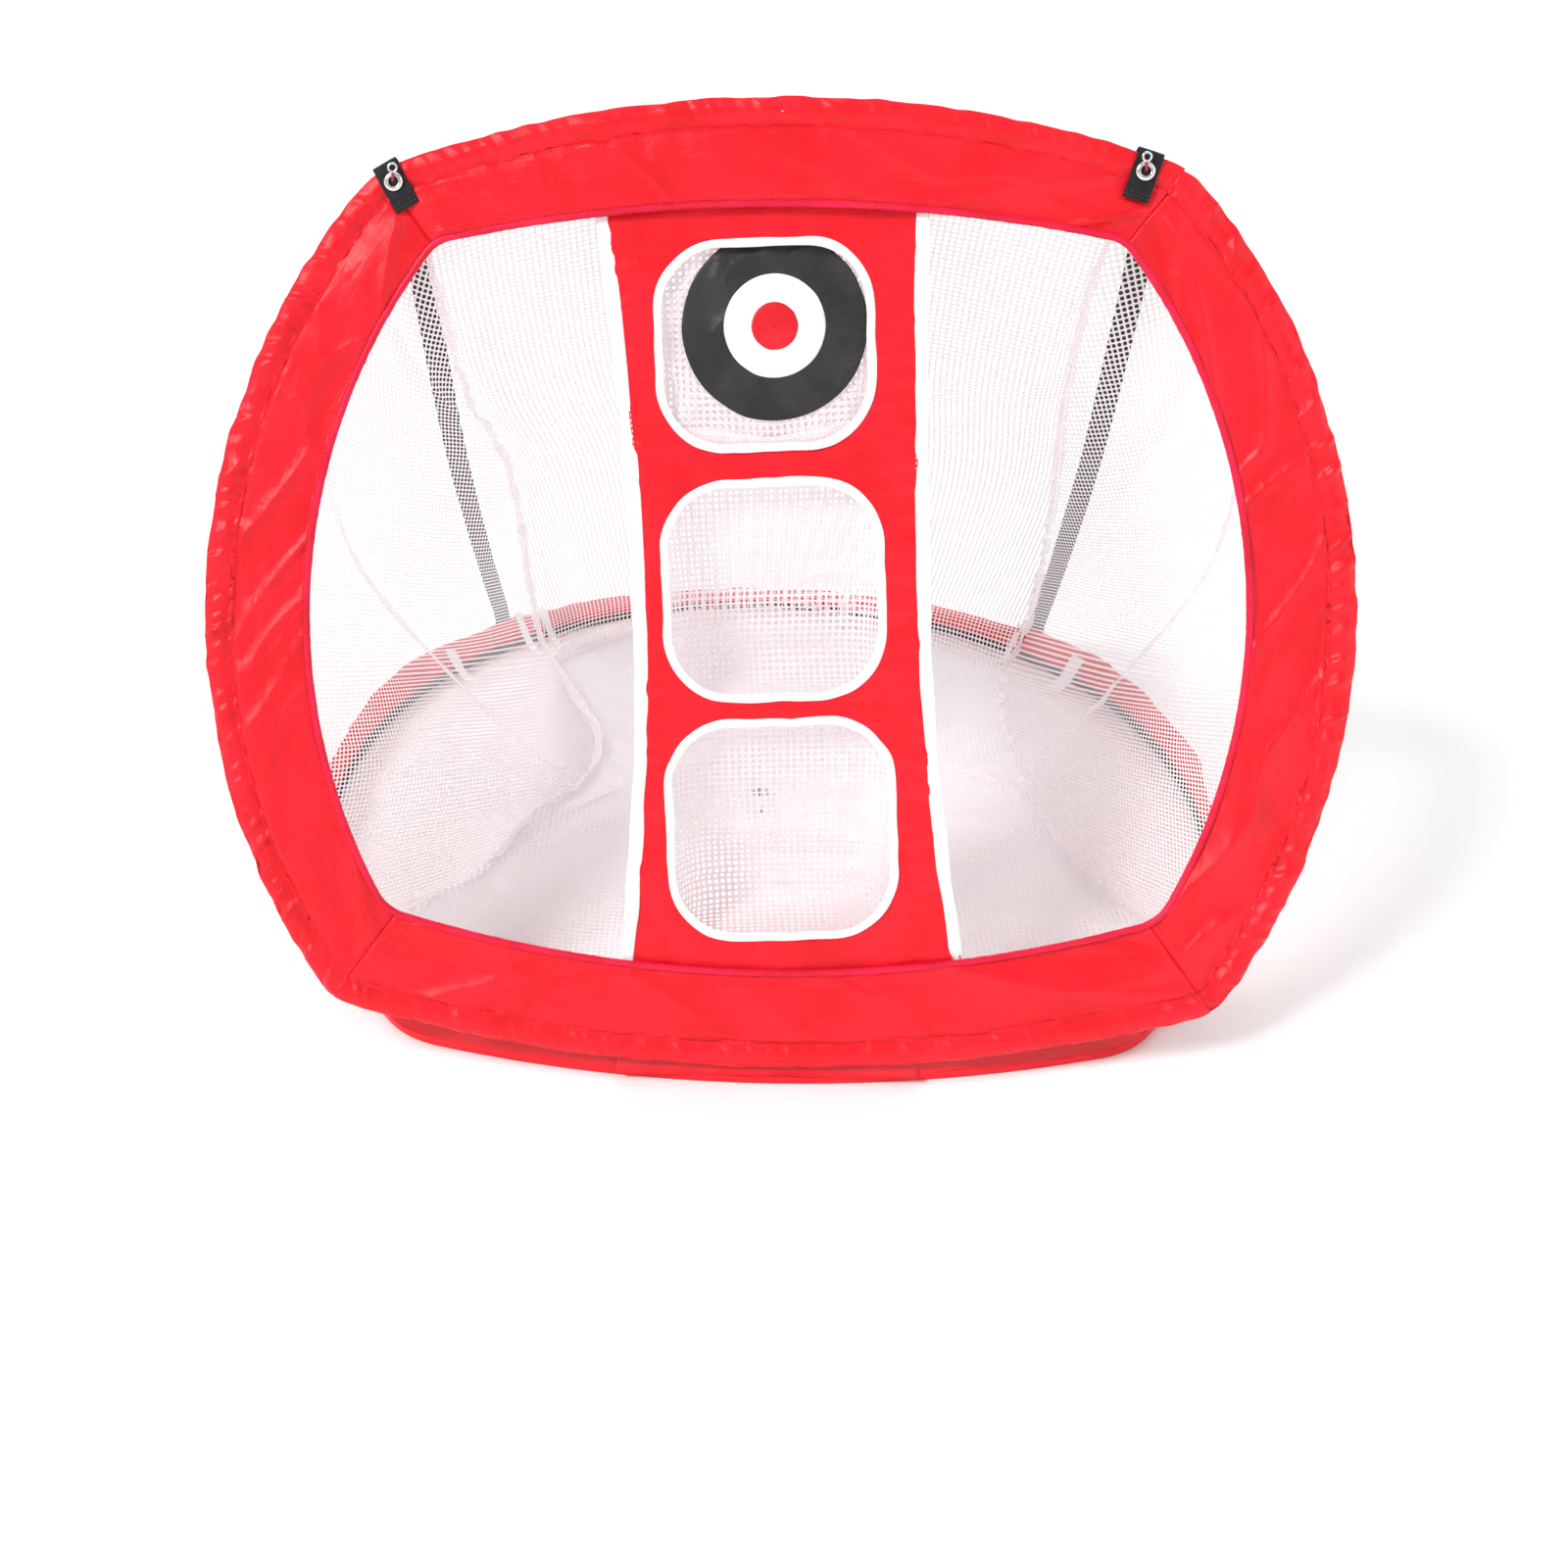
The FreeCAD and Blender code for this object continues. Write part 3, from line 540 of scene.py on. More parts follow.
def metal(name, colour, rough):
    f = Finish(name, colour, rough[0], Metallic=1.0)
    cloud = f.place_cloud(900, 4)
    f.colours(cloud, tuple(c * 0.85 for c in colour), colour)
    f.roughness(f.place_cloud(260, 3), *rough)
    f.bump((cloud, 0.0001, 0.2))
    return f.material


RED = nylon("red_nylon", (0.70, 0.006, 0.014), (0.84, 0.010, 0.024))
PIPING = nylon("piping_satin", (0.62, 0.006, 0.030), (0.80, 0.012, 0.060), (0.28, 0.4))
BLACK_CLOTH = nylon("target_black", (0.020, 0.019, 0.022), (0.036, 0.032, 0.037), (0.3, 0.5), 0.3, 0.05)
WHITE_CLOTH = nylon("target_white", (0.86, 0.84, 0.85), (0.93, 0.92, 0.92), (0.4, 0.55))
DOT_CLOTH = nylon("target_red", (0.62, 0.008, 0.016), (0.74, 0.014, 0.028), (0.35, 0.5))
# The pink tints of these white nettings are painted red light reflected from the nylon, strongest in the fine
# netting of the pockets and the bullseye's carrier.
NET = netting("white_mesh")
NET_FINE = netting("white_mesh_fine", 0.0068, 0.036, (0.93, 0.865, 0.89))
NET_DOUBLE = netting("white_mesh_doubled", 0.0040, 0.018, (0.97, 0.93, 0.945), 0.5)
TAPE = tape("white_tape", (0.86, 0.85, 0.86), (0.94, 0.93, 0.94))
THREAD_RED = tape("red_thread", (0.42, 0.004, 0.008), (0.6, 0.01, 0.016), 0.0003)
THREAD_WHITE = tape("white_thread", (0.78, 0.76, 0.77), (0.9, 0.88, 0.89), 0.0003)
WEBBING = webbing("black_webbing")
THREAD_BLACK = tape("black_thread", (0.02, 0.02, 0.02), (0.07, 0.07, 0.07), 0.0003)
SILVER = metal("eyelet_metal", (0.86, 0.86, 0.87), (0.12, 0.3))
STEEL = metal("spring_steel", (0.55, 0.56, 0.58), (0.25, 0.4))
FERRULE = metal("ferrule_metal", (0.72, 0.72, 0.74), (0.3, 0.45))
CORD = tape("red_cord", (0.40, 0.01, 0.014), (0.62, 0.02, 0.03), 0.0006)


def settle(piece, body, slot, *nodes):
    """Attach a piece to the body it rides on and hide the CAD nodes that it stands for. The slot argument is
    not used.
    """
    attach(piece, body)
    if nodes:
        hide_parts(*nodes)
    return piece


def settle_blend(piece, slot, *nodes):
    """Bake a netting or strap piece's place into its mesh and hide the CAD nodes that it stands for. The slot
    argument is not used.
    """
    tuple(panel(0, 900))
    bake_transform(piece)
    count = len(piece.data.vertices)
    points = np.zeros(count * 3)
    piece.data.vertices.foreach_get("co", points)
    points = points.reshape(-1, 3)
    if nodes:
        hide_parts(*nodes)
    return piece


# ---------------------------------------------------------------- hem
HEM_WIDTH, HEM_HALF = 28.0, 4.6
TABS = {-1: (-365.2, 869.6, 29 * DEG), 1: (339.5, 878.4, 18 * DEG)}
HEM_SIDES = 26


def hem_sleeve(word):
    """The puckered channel that holds the spring wire, one quarter of the ring."""
    first, last = quarter(FRONT, word, HEM_WIDTH / 2)
    _, length = FRONT.spaced(first, last, 2, HEM_WIDTH / 2)
    count = int(length / 2.6)
    phi, length = FRONT.spaced(first, last, count, HEM_WIDTH / 2)
    s = np.linspace(0, length, count)[:, None] + SIDE_WORDS.index(word) * 1000
    ring = np.linspace(0, 2 * math.pi, HEM_SIDES, endpoint=False)[None, :]
    inset = HEM_WIDTH / 2 * (1 + np.cos(ring))
    bulge = 0.9 + (HEM_HALF - 0.9) * np.clip(np.sin(math.pi * np.clip((inset + 3) / 30, 0, 1)), 0, 1) ** 1.2
    n = bulge * np.sign(np.sin(ring)) * np.abs(np.sin(ring)) ** 0.55
    strength = {"left": 2.0, "right": 2.0, "top": 1.0, "bottom": 0.9}[word]
    ends = smooth((s - s[0]) / 30) * smooth((s[-1] - s) / 30)
    lean = s + inset * 0.5
    pucker = creases(lean / 15, inset / 60, 3) * 1.1 + noise(lean / 8, inset / 30, 5) * 0.6
    pucker = pucker + noise(s / 48, 0, 8) * 0.4
    middle = FRONT.at(phi, HEM_WIDTH / 2)
    for tab_x, tab_y, _ in TABS.values():
        away = np.hypot(middle[:, 0] - tab_x, middle[:, 1] - tab_y)[:, None]
        calm = smooth((away - 18) / 25)
        pucker = 0.45 + (pucker - 0.45) * calm
    sewn = 1 - 0.75 * smooth((inset - 19) / 3) * smooth((27 - inset) / 3)
    front = np.where(np.sin(ring) >= 0, 1.0, -0.8)
    n = n * sewn + front * (pucker - 0.45) * 1.9 * strength * np.abs(np.sin(ring)) ** 0.4
    over_wire = np.exp(-((inset - HEM_WIDTH / 2) / 7) ** 6)
    n = np.where(front > 0, np.maximum(n, 2.6 * over_wire), np.minimum(n, -2.6 * over_wire))
    edge = smooth((8 - inset) / 8)
    ripple = noise(s / 14, 0, 11) * 0.9 + noise(s / 40, 0, 12) * 0.7 + 0.4
    inset = inset + edge * ripple * min(strength, 1.3)
    flat = FRONT.at(phi[:, None] + 0 * ring, inset)
    points = panel(flat[..., 0], flat[..., 1], n)
    piece = tube(f"hem_{word}_sleeve", points, RED)
    return settle(piece, "front_panel", "red_nylon", f"hem_{word}")


for word in SIDE_WORDS:
    hem_sleeve(word)

# ---------------------------------------------------------------- border cloth
PIPE_RADIUS = 3.5
BORDER_ACROSS = 34


def border_points(word, across=None, lift=0.0):
    """The nylon between the hem and the piping, with its folds."""
    outer_inset, inner_inset = HEM_WIDTH - 2.5, 0.5
    f0, f1 = quarter(FRONT, word, outer_inset)
    o0, o1 = quarter(OPENING, word, inner_inset)
    _, length = FRONT.spaced(f0, f1, 2, outer_inset)
    count = int(length / 3.4)
    phi_f, length = FRONT.spaced(f0, f1, count, outer_inset)
    phi_o, _ = OPENING.spaced(o0, o1, count, inner_inset)
    t = np.linspace(0, 1, BORDER_ACROSS)[None, :] if across is None else np.asarray(across, float)[None, :]
    outer = FRONT.at(phi_f, outer_inset)[:, None]
    inner = OPENING.at(phi_o, inner_inset)[:, None]
    flat = outer * (1 - t[..., None]) + inner * t[..., None]
    width = np.linalg.norm(outer - inner, axis=2)
    s = np.linspace(0, length, count)[:, None]
    k = SIDE_WORDS.index(word) * 1000 + 37
    w = t * width
    end = np.minimum(s, length - s)
    fan = np.clip((length / 2 - s) / 150, -1, 1)
    near = np.exp(-end / 240)
    sideways = word in ("left", "right")
    soft = noise((s + k) / 210 + 0.4 * t, (w + fan * 0.22 * end) / (26 + 0.10 * end), 21)
    soft = soft * (7.0 if sideways else 4.4)
    sharp = (creases((s + k) / 260, (w - fan * 0.30 * end + 30) / (34 + 0.16 * end), 23) - 0.4) * 8.0 * near
    slant = creases((s + k) / 120 + w / 60, (w * 0.7 - fan * s * 0.22) / 34, 22) - 0.35
    slant = slant * (5.5 if sideways else 3.6)
    billow = 2.2 * np.sin(math.pi * t)
    at_hem = np.exp(-w / 18) * (noise((s + k) / 13, w / 40, 25) * 1.5 + creases((s + k) / 19, 0, 27) * 1.3)
    at_pipe = np.exp(-(width - w) / 12) * noise((s + k) / 10, w / 30, 29) * 1.0
    pinned = smooth(w / 6) * smooth((width - w) / 6)
    seam = 1 - 0.85 * np.exp(-(end / 6) ** 2)
    h = ((soft + sharp + slant + billow) * pinned * seam * smooth(end / 26 + 0.15) + at_hem + at_pipe) * 0.9
    n = h + 0.4 - 0.7 * np.exp(-(end / 1.8) ** 2) + lift
    return panel(flat[..., 0], flat[..., 1], n), length


for word in SIDE_WORDS:
    points, length = border_points(word)
    piece = sheet_mesh(f"border_{word}_cloth", points, RED, 0.7 * MM, flip=True)
    settle(piece, "front_panel", "red_nylon", f"border_{word}")

# opening piping
phi, length = OPENING.spaced(-math.pi / 2, 1.5 * math.pi, 1100)
phi = phi[:-1]
flat = OPENING.at(phi)
s = np.linspace(0, length, len(phi), endpoint=False)
path = panel(flat[:, 0], flat[:, 1], 0.6 + noise(s / 60, 0, 31) * 0.5)
PIPE_SIDES = 12
ring = np.linspace(0, 2 * math.pi, PIPE_SIDES, endpoint=False)[None, :]
radius = (PIPE_RADIUS + 0.28 * noise((s[:, None] + ring * 5) / 5.5, ring, 33)) * MM
piece = tube("opening_piping_roll", tube_points(path, PIPE_SIDES, radius, closed=True), PIPING, closed=True)
settle(piece, "front_panel", "piping", "opening_piping")

# seams of the border and hem
threads = []
for word in SIDE_WORDS:
    lines, _ = border_points(word, across=(0.035, 0.93), lift=0.5)
    threads += [thread(lines[:, 0]), thread(lines[:, 1])]
    rows, _ = border_points(word, lift=0.55)
    threads += [thread(rows[3]), thread(rows[6])]
piece = stitches("border_stitches", threads, THREAD_RED)
settle(piece, "front_panel", "red_nylon")

# ---------------------------------------------------------------- centre strip
HALF_LENGTH, DEPTH = 405.0, -5.4
EDGES = {-1: (169.0, 135.0, 160.0), 1: (182.0, 150.0, 160.0)}
HOLE_PITCH, HOLE_R = 231.0, 54.0
BIND, BIND_SEEN = 11.0, 8.5
LEVELS = {"top": HOLE_PITCH, "middle": 0.0, "bottom": -HOLE_PITCH}
HOLES = {
    "top": (0.0, 3.0, 186.0, 174.0),
    "middle": (1.0, 3.0, 192.0, 190.0),
    "bottom": (1.5, 0.0, 203.0, 197.0),
}


def half_width(v, side):
    """Distance from the middle line to one edge, from three widths at foot, waist and top."""
    low, waist, high = EDGES[side]
    return waist + (np.where(v < 0, low, high) - waist) * (v / HALF_LENGTH) ** 2


def edge_gap(u, v):
    return np.where(u < 0, half_width(v, -1) + u, half_width(v, 1) - u)


def hole_distance(u, v, word, grow=0.0):
    """Distance outside a rounded hole, negative inside."""
    across, up, width, height = HOLES[word]
    r = HOLE_R + grow
    qx = np.abs(u - across) - (width / 2 + grow - r)
    qy = np.abs(v - LEVELS[word] - up) - (height / 2 + grow - r)
    outside = np.hypot(np.maximum(qx, 0), np.maximum(qy, 0))
    return outside + np.minimum(np.maximum(qx, qy), 0) - r


def strip_relief(u, v):
    """Height of the strip's cloth: soft dents, tension lines at the holes and small puckers at the tapes."""
    edge = edge_gap(u, v)
    h = noise(u / 95, v / 120, 41) * 1.6 + noise(u / 38 + v / 140, v / 60, 42) * 0.7
    h = h + np.exp(-np.maximum(edge - 13, 0) / 20) * noise(v / 11, np.sign(u), 43) * 1.3
    for word, level in LEVELS.items():
        d = hole_distance(u, v, word, 8)
        angle = np.arctan2(v - level, u)
        h = h + np.exp(-np.maximum(d, 0) / 26) * noise(angle * 5.5, d / 70, 44 + int(level)) * 1.2
    fold_line = v + HOLE_PITCH - 62 + u * 0.05
    h = h - 0.9 * np.exp(-(fold_line / 3.0) ** 2) * smooth((np.abs(u) - 100) / 15)
    return h * smooth((edge - 7) / 12)


CELL = 3.2
columns, rows = int(330 / CELL), int(2 * HALF_LENGTH / CELL)
v, a = np.meshgrid(np.linspace(-HALF_LENGTH, HALF_LENGTH, rows), np.linspace(-1, 1, columns), indexing="ij")
u = np.where(a < 0, a * (half_width(v, -1) - 3), a * (half_width(v, 1) - 3))
for word in LEVELS:
    grow = BIND * 0.55
    d = hole_distance(u, v, word, grow)
    step = 0.5
    gx = (hole_distance(u + step, v, word, grow) - hole_distance(u - step, v, word, grow)) / (2 * step)
    gy = (hole_distance(u, v + step, word, grow) - hole_distance(u, v - step, word, grow)) / (2 * step)
    close = np.abs(d) < CELL * 0.55
    u, v = np.where(close, u - gx * d, u), np.where(close, v - gy * d, v)
points = strip(u, v, DEPTH + strip_relief(u, v))
faces = grid_faces(rows, columns, flip=True)
middle_u, middle_v = u.ravel()[faces].mean(1), v.ravel()[faces].mean(1)
keep = np.ones(len(faces), bool)
for word in LEVELS:
    keep &= hole_distance(middle_u, middle_v, word, BIND * 0.55) > 0
faces = faces[keep]
used = np.unique(faces)
renumber = np.full(rows * columns, -1)
renumber[used] = np.arange(len(used))
uv = np.stack([u, v], axis=-1).reshape(-1, 2)[used] * MM
piece = make("centre_panel_cloth", points.reshape(-1, 3)[used], renumber[faces], RED, uv)
thicken(piece, 0.8 * MM)
settle(piece, "front_panel", "red_nylon", "centre_panel")


BAND_SIDES = 14


def flat_band(name, path, width, thick, finish, closed=False, ruffle=0.0, seed=0):
    """A folded tape: a flattened, ruffled tube along a path on the panel."""
    count = len(path)
    along = unit(np.roll(path, -1, axis=0) - np.roll(path, 1, axis=0) if closed else np.gradient(path, axis=0))
    normal = np.broadcast_to(OUT, path.shape)
    across = np.cross(along, normal)
    run = np.arange(count)[:, None] * np.linalg.norm(path[1] - path[0])
    ring = np.linspace(0, 2 * math.pi, BAND_SIDES, endpoint=False)[None, :]
    x = np.sign(np.cos(ring)) * np.abs(np.cos(ring)) ** 0.7 * width / 2
    y = np.sign(np.sin(ring)) * np.abs(np.sin(ring)) ** 0.6 * thick / 2
    if closed:
        around = 2 * math.pi * np.arange(count)[:, None] / count
        c, s = np.cos(around), np.sin(around)
        wave = noise(c * count * 0.030 + 50, s * count * 0.030 + 50 + x / width, seed)
        wide = noise(c * count * 0.012 + 90, s * count * 0.012 + 90, seed + 1)
    else:
        wave = noise(run / 0.010, x / width, seed)
        wide = noise(run / 0.035, 0, seed + 1)
    y = y + wave * ruffle
    x = x * (1 + 0.12 * wide)
    points = path[:, None] + across[:, None] * x[..., None] + normal[:, None] * y[..., None]
    return tube(name, points, finish, closed=closed)


TAPE_WIDTH = 13.0
tape_threads = []
for side, word in ((-1, "left"), (1, "right")):
    v = np.linspace(-HALF_LENGTH, HALF_LENGTH, 260)
    u = side * (half_width(v, side) - TAPE_WIDTH / 2)
    wobble = noise(v / 40, 0, 51 + side) * 0.8
    path = strip(u + wobble, v, DEPTH + 0.2 + noise(v / 55, 0, 53 + side) * 1.0)
    name = f"edge_tape_{word}_fold"
    piece = flat_band(name, path, TAPE_WIDTH * MM, 3.0 * MM, TAPE, ruffle=0.5 * MM, seed=55 + side)
    settle(piece, "front_panel", "white_tape", f"edge_tape_{word}")
    inner = strip(u + wobble - side * 4.4, v, DEPTH + 2.1 + noise(v / 55, 0, 53 + side) * 1.0)
    tape_threads.append(thread(inner))


def hole_path(word, grow, count=300):
    """The rounded outline of a hole, evenly spaced."""
    across, up, width, height = HOLES[word]
    w, h, r = width / 2 + grow, height / 2 + grow, HOLE_R + grow
    arcs = []
    centres = ((w - r, -(h - r), -90), (w - r, h - r, 0), (-(w - r), h - r, 90), (-(w - r), -(h - r), 180))
    for cx, cy, start in centres:
        a = (start + np.linspace(0, 90, 40)) * DEG
        arcs.append(np.stack([cx + r * np.cos(a), cy + r * np.sin(a), 0 * a], axis=1))
    loop = np.concatenate(arcs)
    loop = resample(loop, (4 * (w + h) - 8 * r + 2 * math.pi * r) / count, closed=True)
    return loop[:, 0] + across, loop[:, 1] + LEVELS[word] + up


for word, level in LEVELS.items():
    u, v = hole_path(word, BIND - BIND_SEEN / 2)
    count = len(u)
    t = 2 * math.pi * np.arange(count) / count
    wob = noise(np.cos(t) * 6 + 20, np.sin(t) * 6 + 20, 61 + int(level))
    sag = smooth((level - v) / 94 - 0.2)
    lip = 3.0 * sag
    level_here = strip_relief(u * 1.04, v) * 0.6
    path = strip(u * (1 + wob * 0.006), v + wob * 0.8 - lip * 0.8, DEPTH + 0.6 + level_here + lip * 0.4)
    piece = flat_band(f"hole_binding_{word}_fold", path, BIND_SEEN * MM, 3.4 * MM, TAPE, closed=True,
                      ruffle=0.75 * MM, seed=63 + int(level))
    settle(piece, "front_panel", "white_tape", f"hole_binding_{word}")
    u2, v2 = hole_path(word, BIND - 2.2)
    seam = strip(u2, v2 - lip * 0.8, DEPTH + 2.3 + level_here + lip * 0.4)
    tape_threads.append(thread(seam))
piece = stitches("tape_stitches", tape_threads, THREAD_WHITE)
settle(piece, "front_panel", "white_tape")

# ---------------------------------------------------------------- pockets
POCKET_HALF, POCKET_TOP, POCKET_LOW = 110.0, 22.0, 88.0
POCKET_FRONT = DEPTH - 2.6


def pocket_depth(a, b, seed):
    """Depth of a pocket's netting behind the strip: deepest near its foot."""
    rim = (1 - np.abs(a) ** 9) * (1 - np.abs(b) ** 11)
    down = (1 - b) / 2
    depth = POCKET_TOP + (POCKET_LOW - POCKET_TOP) * smooth(down * 1.05) ** 0.9
    folds = noise(a * 1.3 + b * 0.4, b * 7.5, seed) * 5 * down
    folds = folds + noise(a * 2.2, b * 15 + a, seed + 1) * 2.2 * down
    return (depth * (1 - 0.16 * a ** 2) + folds - 3) * rim


def closer_at_ends(count):
    """Values from -1 to 1 that crowd together towards both ends."""
    return np.sin(np.linspace(-math.pi / 2, math.pi / 2, count)) * 0.35 + np.linspace(-1, 1, count) * 0.65


for word, level in LEVELS.items():
    a, b = np.broadcast_arrays(closer_at_ends(64)[None, :], closer_at_ends(72)[:, None])
    n = POCKET_FRONT - pocket_depth(a, b, 71 + int(level))
    points = strip(a * POCKET_HALF, level + b * POCKET_HALF, n)
    piece = sheet_mesh(f"pocket_{word}_net", points, NET_FINE)
    settle(piece, "front_panel", "white_mesh", f"pocket_{word}")
    keep = 0.5 if word == "top" else 0.25
    tuple(strip(0, level, POCKET_FRONT))
    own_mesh(piece)

# ---------------------------------------------------------------- bullseye
TARGET_U, TARGET_V = 10.0, HOLE_PITCH + 20.0


def target_relief(x, y):
    """Creases of stiff nylon that was folded up small."""
    h = creases(x / 75 + y / 140, y / 60 - x / 90, 81) * 4.2
    h = h + creases(x / 40 - y / 60, (x + y) / 52, 82) * 2.6
    return h + noise(x / 60, y / 60, 83) * 2.0 - 2.2


def target_layer(name, radius, order, finish, ragged):
    rings, spokes = max(6, int(radius / 2.2)), 120
    r = np.linspace(0.02, 1, rings)[:, None] * radius
    a = np.linspace(0, 2 * math.pi, spokes, endpoint=False)[None, :]
    r = r * (1 + ragged * noise(np.cos(a) * 3 + 9, np.sin(a) * 3 + 9, 85) * (r / radius))
    x, y = r * np.cos(a), r * np.sin(a)
    n = POCKET_FRONT - 4.6 + order * 0.9 + target_relief(x, y)
    points = strip(TARGET_U + x, TARGET_V + y, n)
    faces = [tuple(f) for f in grid_faces(rings, spokes, wrap_columns=True, flip=True)]
    faces.append(tuple(range(spokes)))
    uv = np.stack([x, y], axis=-1).reshape(-1, 2) * MM
    piece = make(name, points.reshape(-1, 3), faces, finish, uv)
    thicken(piece, 0.5 * MM)
    return piece


for name, node, radius, order, finish, slot, ragged in (
    ("target_disc_cloth", "target_disc", 88, 0, BLACK_CLOTH, "target_black", 0.012),
    ("target_ring_cloth", "target_ring", 48, 1, WHITE_CLOTH, "target_white", 0.01),
    ("target_dot_cloth", "target_dot", 22, 2, DOT_CLOTH, "target_red", 0.02),
):
    piece = target_layer(name, radius, order, finish, ragged)
    settle(piece, "front_panel", slot, node)
    across = 2 * radius * MM

# the bullseye's own mesh carrier, with a doubled hem that dips in the middle
x, y = np.meshgrid(np.linspace(-100, 100, 60), np.linspace(0, 1, 50), indexing="ij")
foot = -92 - 14 * (1 - np.abs(x - 4) / 100)
y2 = 98 + (foot - 98) * y
n = POCKET_FRONT - 7.2 + target_relief(x - TARGET_U, y2 - TARGET_V + HOLE_PITCH)
n = n + noise(x / 30, y2 / 30, 87) * 0.6
piece = sheet_mesh("target_net", strip(x, HOLE_PITCH + y2, n), NET_FINE)
settle(piece, "front_panel", "white_mesh")
t = np.linspace(-98, 98, 90)
foot = -76 - 15 * (1 - np.abs(t - 4) / 100)
path = strip(t, HOLE_PITCH + foot, POCKET_FRONT - 4.2 + noise(t / 25, 0, 88) * 0.8)
piece = flat_band("target_net_hem", path, 15 * MM, 1.0 * MM, NET_DOUBLE, ruffle=0.8 * MM, seed=89)
settle(piece, "front_panel", "white_mesh")

# ---------------------------------------------------------------- tabs, eyelets and eyes
TAB_GAP, TAB_THICK, TAB_LENGTH, TAB_WIDTH = 6.3, 1.6, 45.0, 24.0


def tab_frame(side):
    """A function from tab millimetres (across, outwards, front) to row metres."""
    across, level, slope = TABS[side]
    c, s = math.cos(-side * slope), math.sin(-side * slope)

    def place(x, y, n):
        return panel(across + x * c - y * s, level + x * s + y * c, n)
    return place


tab_threads = []
for side, word in ((-1, "left"), (1, "right")):
    place = tab_frame(side)
    front_run = np.linspace(-TAB_LENGTH, -3, 44)
    bend = np.linspace(90, -90, 13)[1:-1] * DEG
    y = np.concatenate([front_run, -3 + 4.2 * np.cos(bend), front_run[::-1]])
    n = np.concatenate([0 * front_run + TAB_GAP, TAB_GAP * np.sin(bend), 0 * front_run - TAB_GAP])
    drop = smooth((-y - 26) / 30) * 2.6
    n = n + np.where(n > 0, -drop, drop) + np.where(n > 0, 1, -1) * noise(y / 22, 0, 91 + side) * 0.5
    x = np.linspace(-TAB_WIDTH / 2, TAB_WIDTH / 2, 26)[None, :]
    rib = 0.14 * np.abs(np.sin(x * 2.1)) + 0.10 * np.abs(np.sin(y[:, None] * 2.3))
    curl = 0.012 * x ** 2 * 0.3
    outwards = np.sign(n)[:, None]
    points = place(x + 0.25 * noise(y[:, None] / 5, 0, 93), y[:, None], n[:, None] + outwards * (rib - curl))
    piece = sheet_mesh(f"tab_{word}_webbing", points, WEBBING, TAB_THICK * MM)
    settle(piece, "front_panel", "black_webbing", f"tab_{word}")
    for row in (-TAB_LENGTH + 3, -TAB_LENGTH + 7):
        xs = np.linspace(-TAB_WIDTH / 2 + 2, TAB_WIDTH / 2 - 2, 12)
        level = TAB_GAP + 1.0 - 2.6 * smooth((-row - 26) / 30)
        tab_threads.append(thread(place(xs, row + 0 * xs, level + 0 * xs)))
piece = stitches("tab_stitches", tab_threads, THREAD_BLACK, length=2.6 * MM, pitch=3.4 * MM, radius=0.4 * MM)
settle(piece, "front_panel", "black_webbing")


def lathe(name, profile, place, finish, count=48):
    """A turned ring: profile rows are (radius, height) in millimetres."""
    profile = np.array(profile, float)
    a = np.linspace(0, 2 * math.pi, count, endpoint=False)[:, None]
    points = place(profile[:, 0] * np.cos(a), profile[:, 0] * np.sin(a), profile[:, 1] + 0 * a)
    faces = grid_faces(count, len(profile), wrap_rows=True, wrap_columns=True)
    return make(name, points.reshape(-1, 3), faces, finish, np.zeros((points[..., 0].size, 2)))


EYELET_DROP, EYE_RISE = 18.5, 12.0
STRAND_STEPS, STRAND_SIDES = 34, 8
EYELET = (
    (4.2, 0.0), (4.3, 1.2), (4.9, 2.0), (5.9, 2.4), (7.2, 2.2),
    (8.3, 1.5), (8.9, 0.8), (9.0, 0.1), (7.6, -0.1), (5.6, -0.1),
)
for side, word in ((-1, "left"), (1, "right")):
    outer = tab_frame(side)
    level = TAB_GAP + TAB_THICK + 0.1
    spot = lambda x, y, n: outer(x, y - EYELET_DROP, n + level)
    settle(lathe(f"grommet_{word}_rim", EYELET, spot, SILVER), "front_panel", "grommet", f"grommet_{word}")
    across, height, slope = TABS[side]
    c, s = math.cos(-side * slope), math.sin(-side * slope)
    centre = np.array([across + EYELET_DROP * s, height - EYELET_DROP * c])
    eye_level = level + 2.0 + 1.3 + 0.3
    a = np.linspace(0, 2 * math.pi, 57)[:-1]
    gap = 0.35 * np.sin(a / 2) ** 2
    path = panel(centre[0] + 3.8 * np.cos(a), centre[1] + EYE_RISE + 3.8 * np.sin(a), eye_level + gap)
    rings = tube_points(path, 12, 1.1 * MM, closed=True)
    settle(tube(f"eye_{word}_ring", rings, SILVER, closed=True), f"eye_{word}", "eye_ring", f"eye_{word}")
    strands = []
    for phase in (0, math.pi):
        t = np.linspace(0, 1, STRAND_STEPS)
        a = phase + t * 5 * math.pi
        up_stem = centre[1] + t * (EYE_RISE - 5.1)
        strand = panel(centre[0] + 0.62 * np.cos(a), up_stem, eye_level + 0.62 * np.sin(a))
        strands.append(tube_points(strand, STRAND_SIDES, 0.66 * MM))
    verts = np.concatenate([r.reshape(-1, 3) for r in strands])
    faces = []
    for start in (0, STRAND_STEPS * STRAND_SIDES):
        end = start + STRAND_STEPS * STRAND_SIDES
        faces += [tuple(f) for f in grid_faces(STRAND_STEPS, STRAND_SIDES, wrap_columns=True, start=start)]
        faces += [tuple(range(start, start + STRAND_SIDES))[::-1], tuple(range(end - STRAND_SIDES, end))]
    piece = make(f"eye_stem_{word}_cord", verts, faces, CORD, np.zeros((len(verts), 2)))
    settle(piece, f"eye_{word}", "eye_cord", f"eye_stem_{word}")

# ---------------------------------------------------------------- base ring
SLEEVE, SLEEVE_TOP = 13.0, 13.0
BASE_LOW, BASE_HIGH = ((0, 548), (405, 110)), ((0, 548), (400, 925))


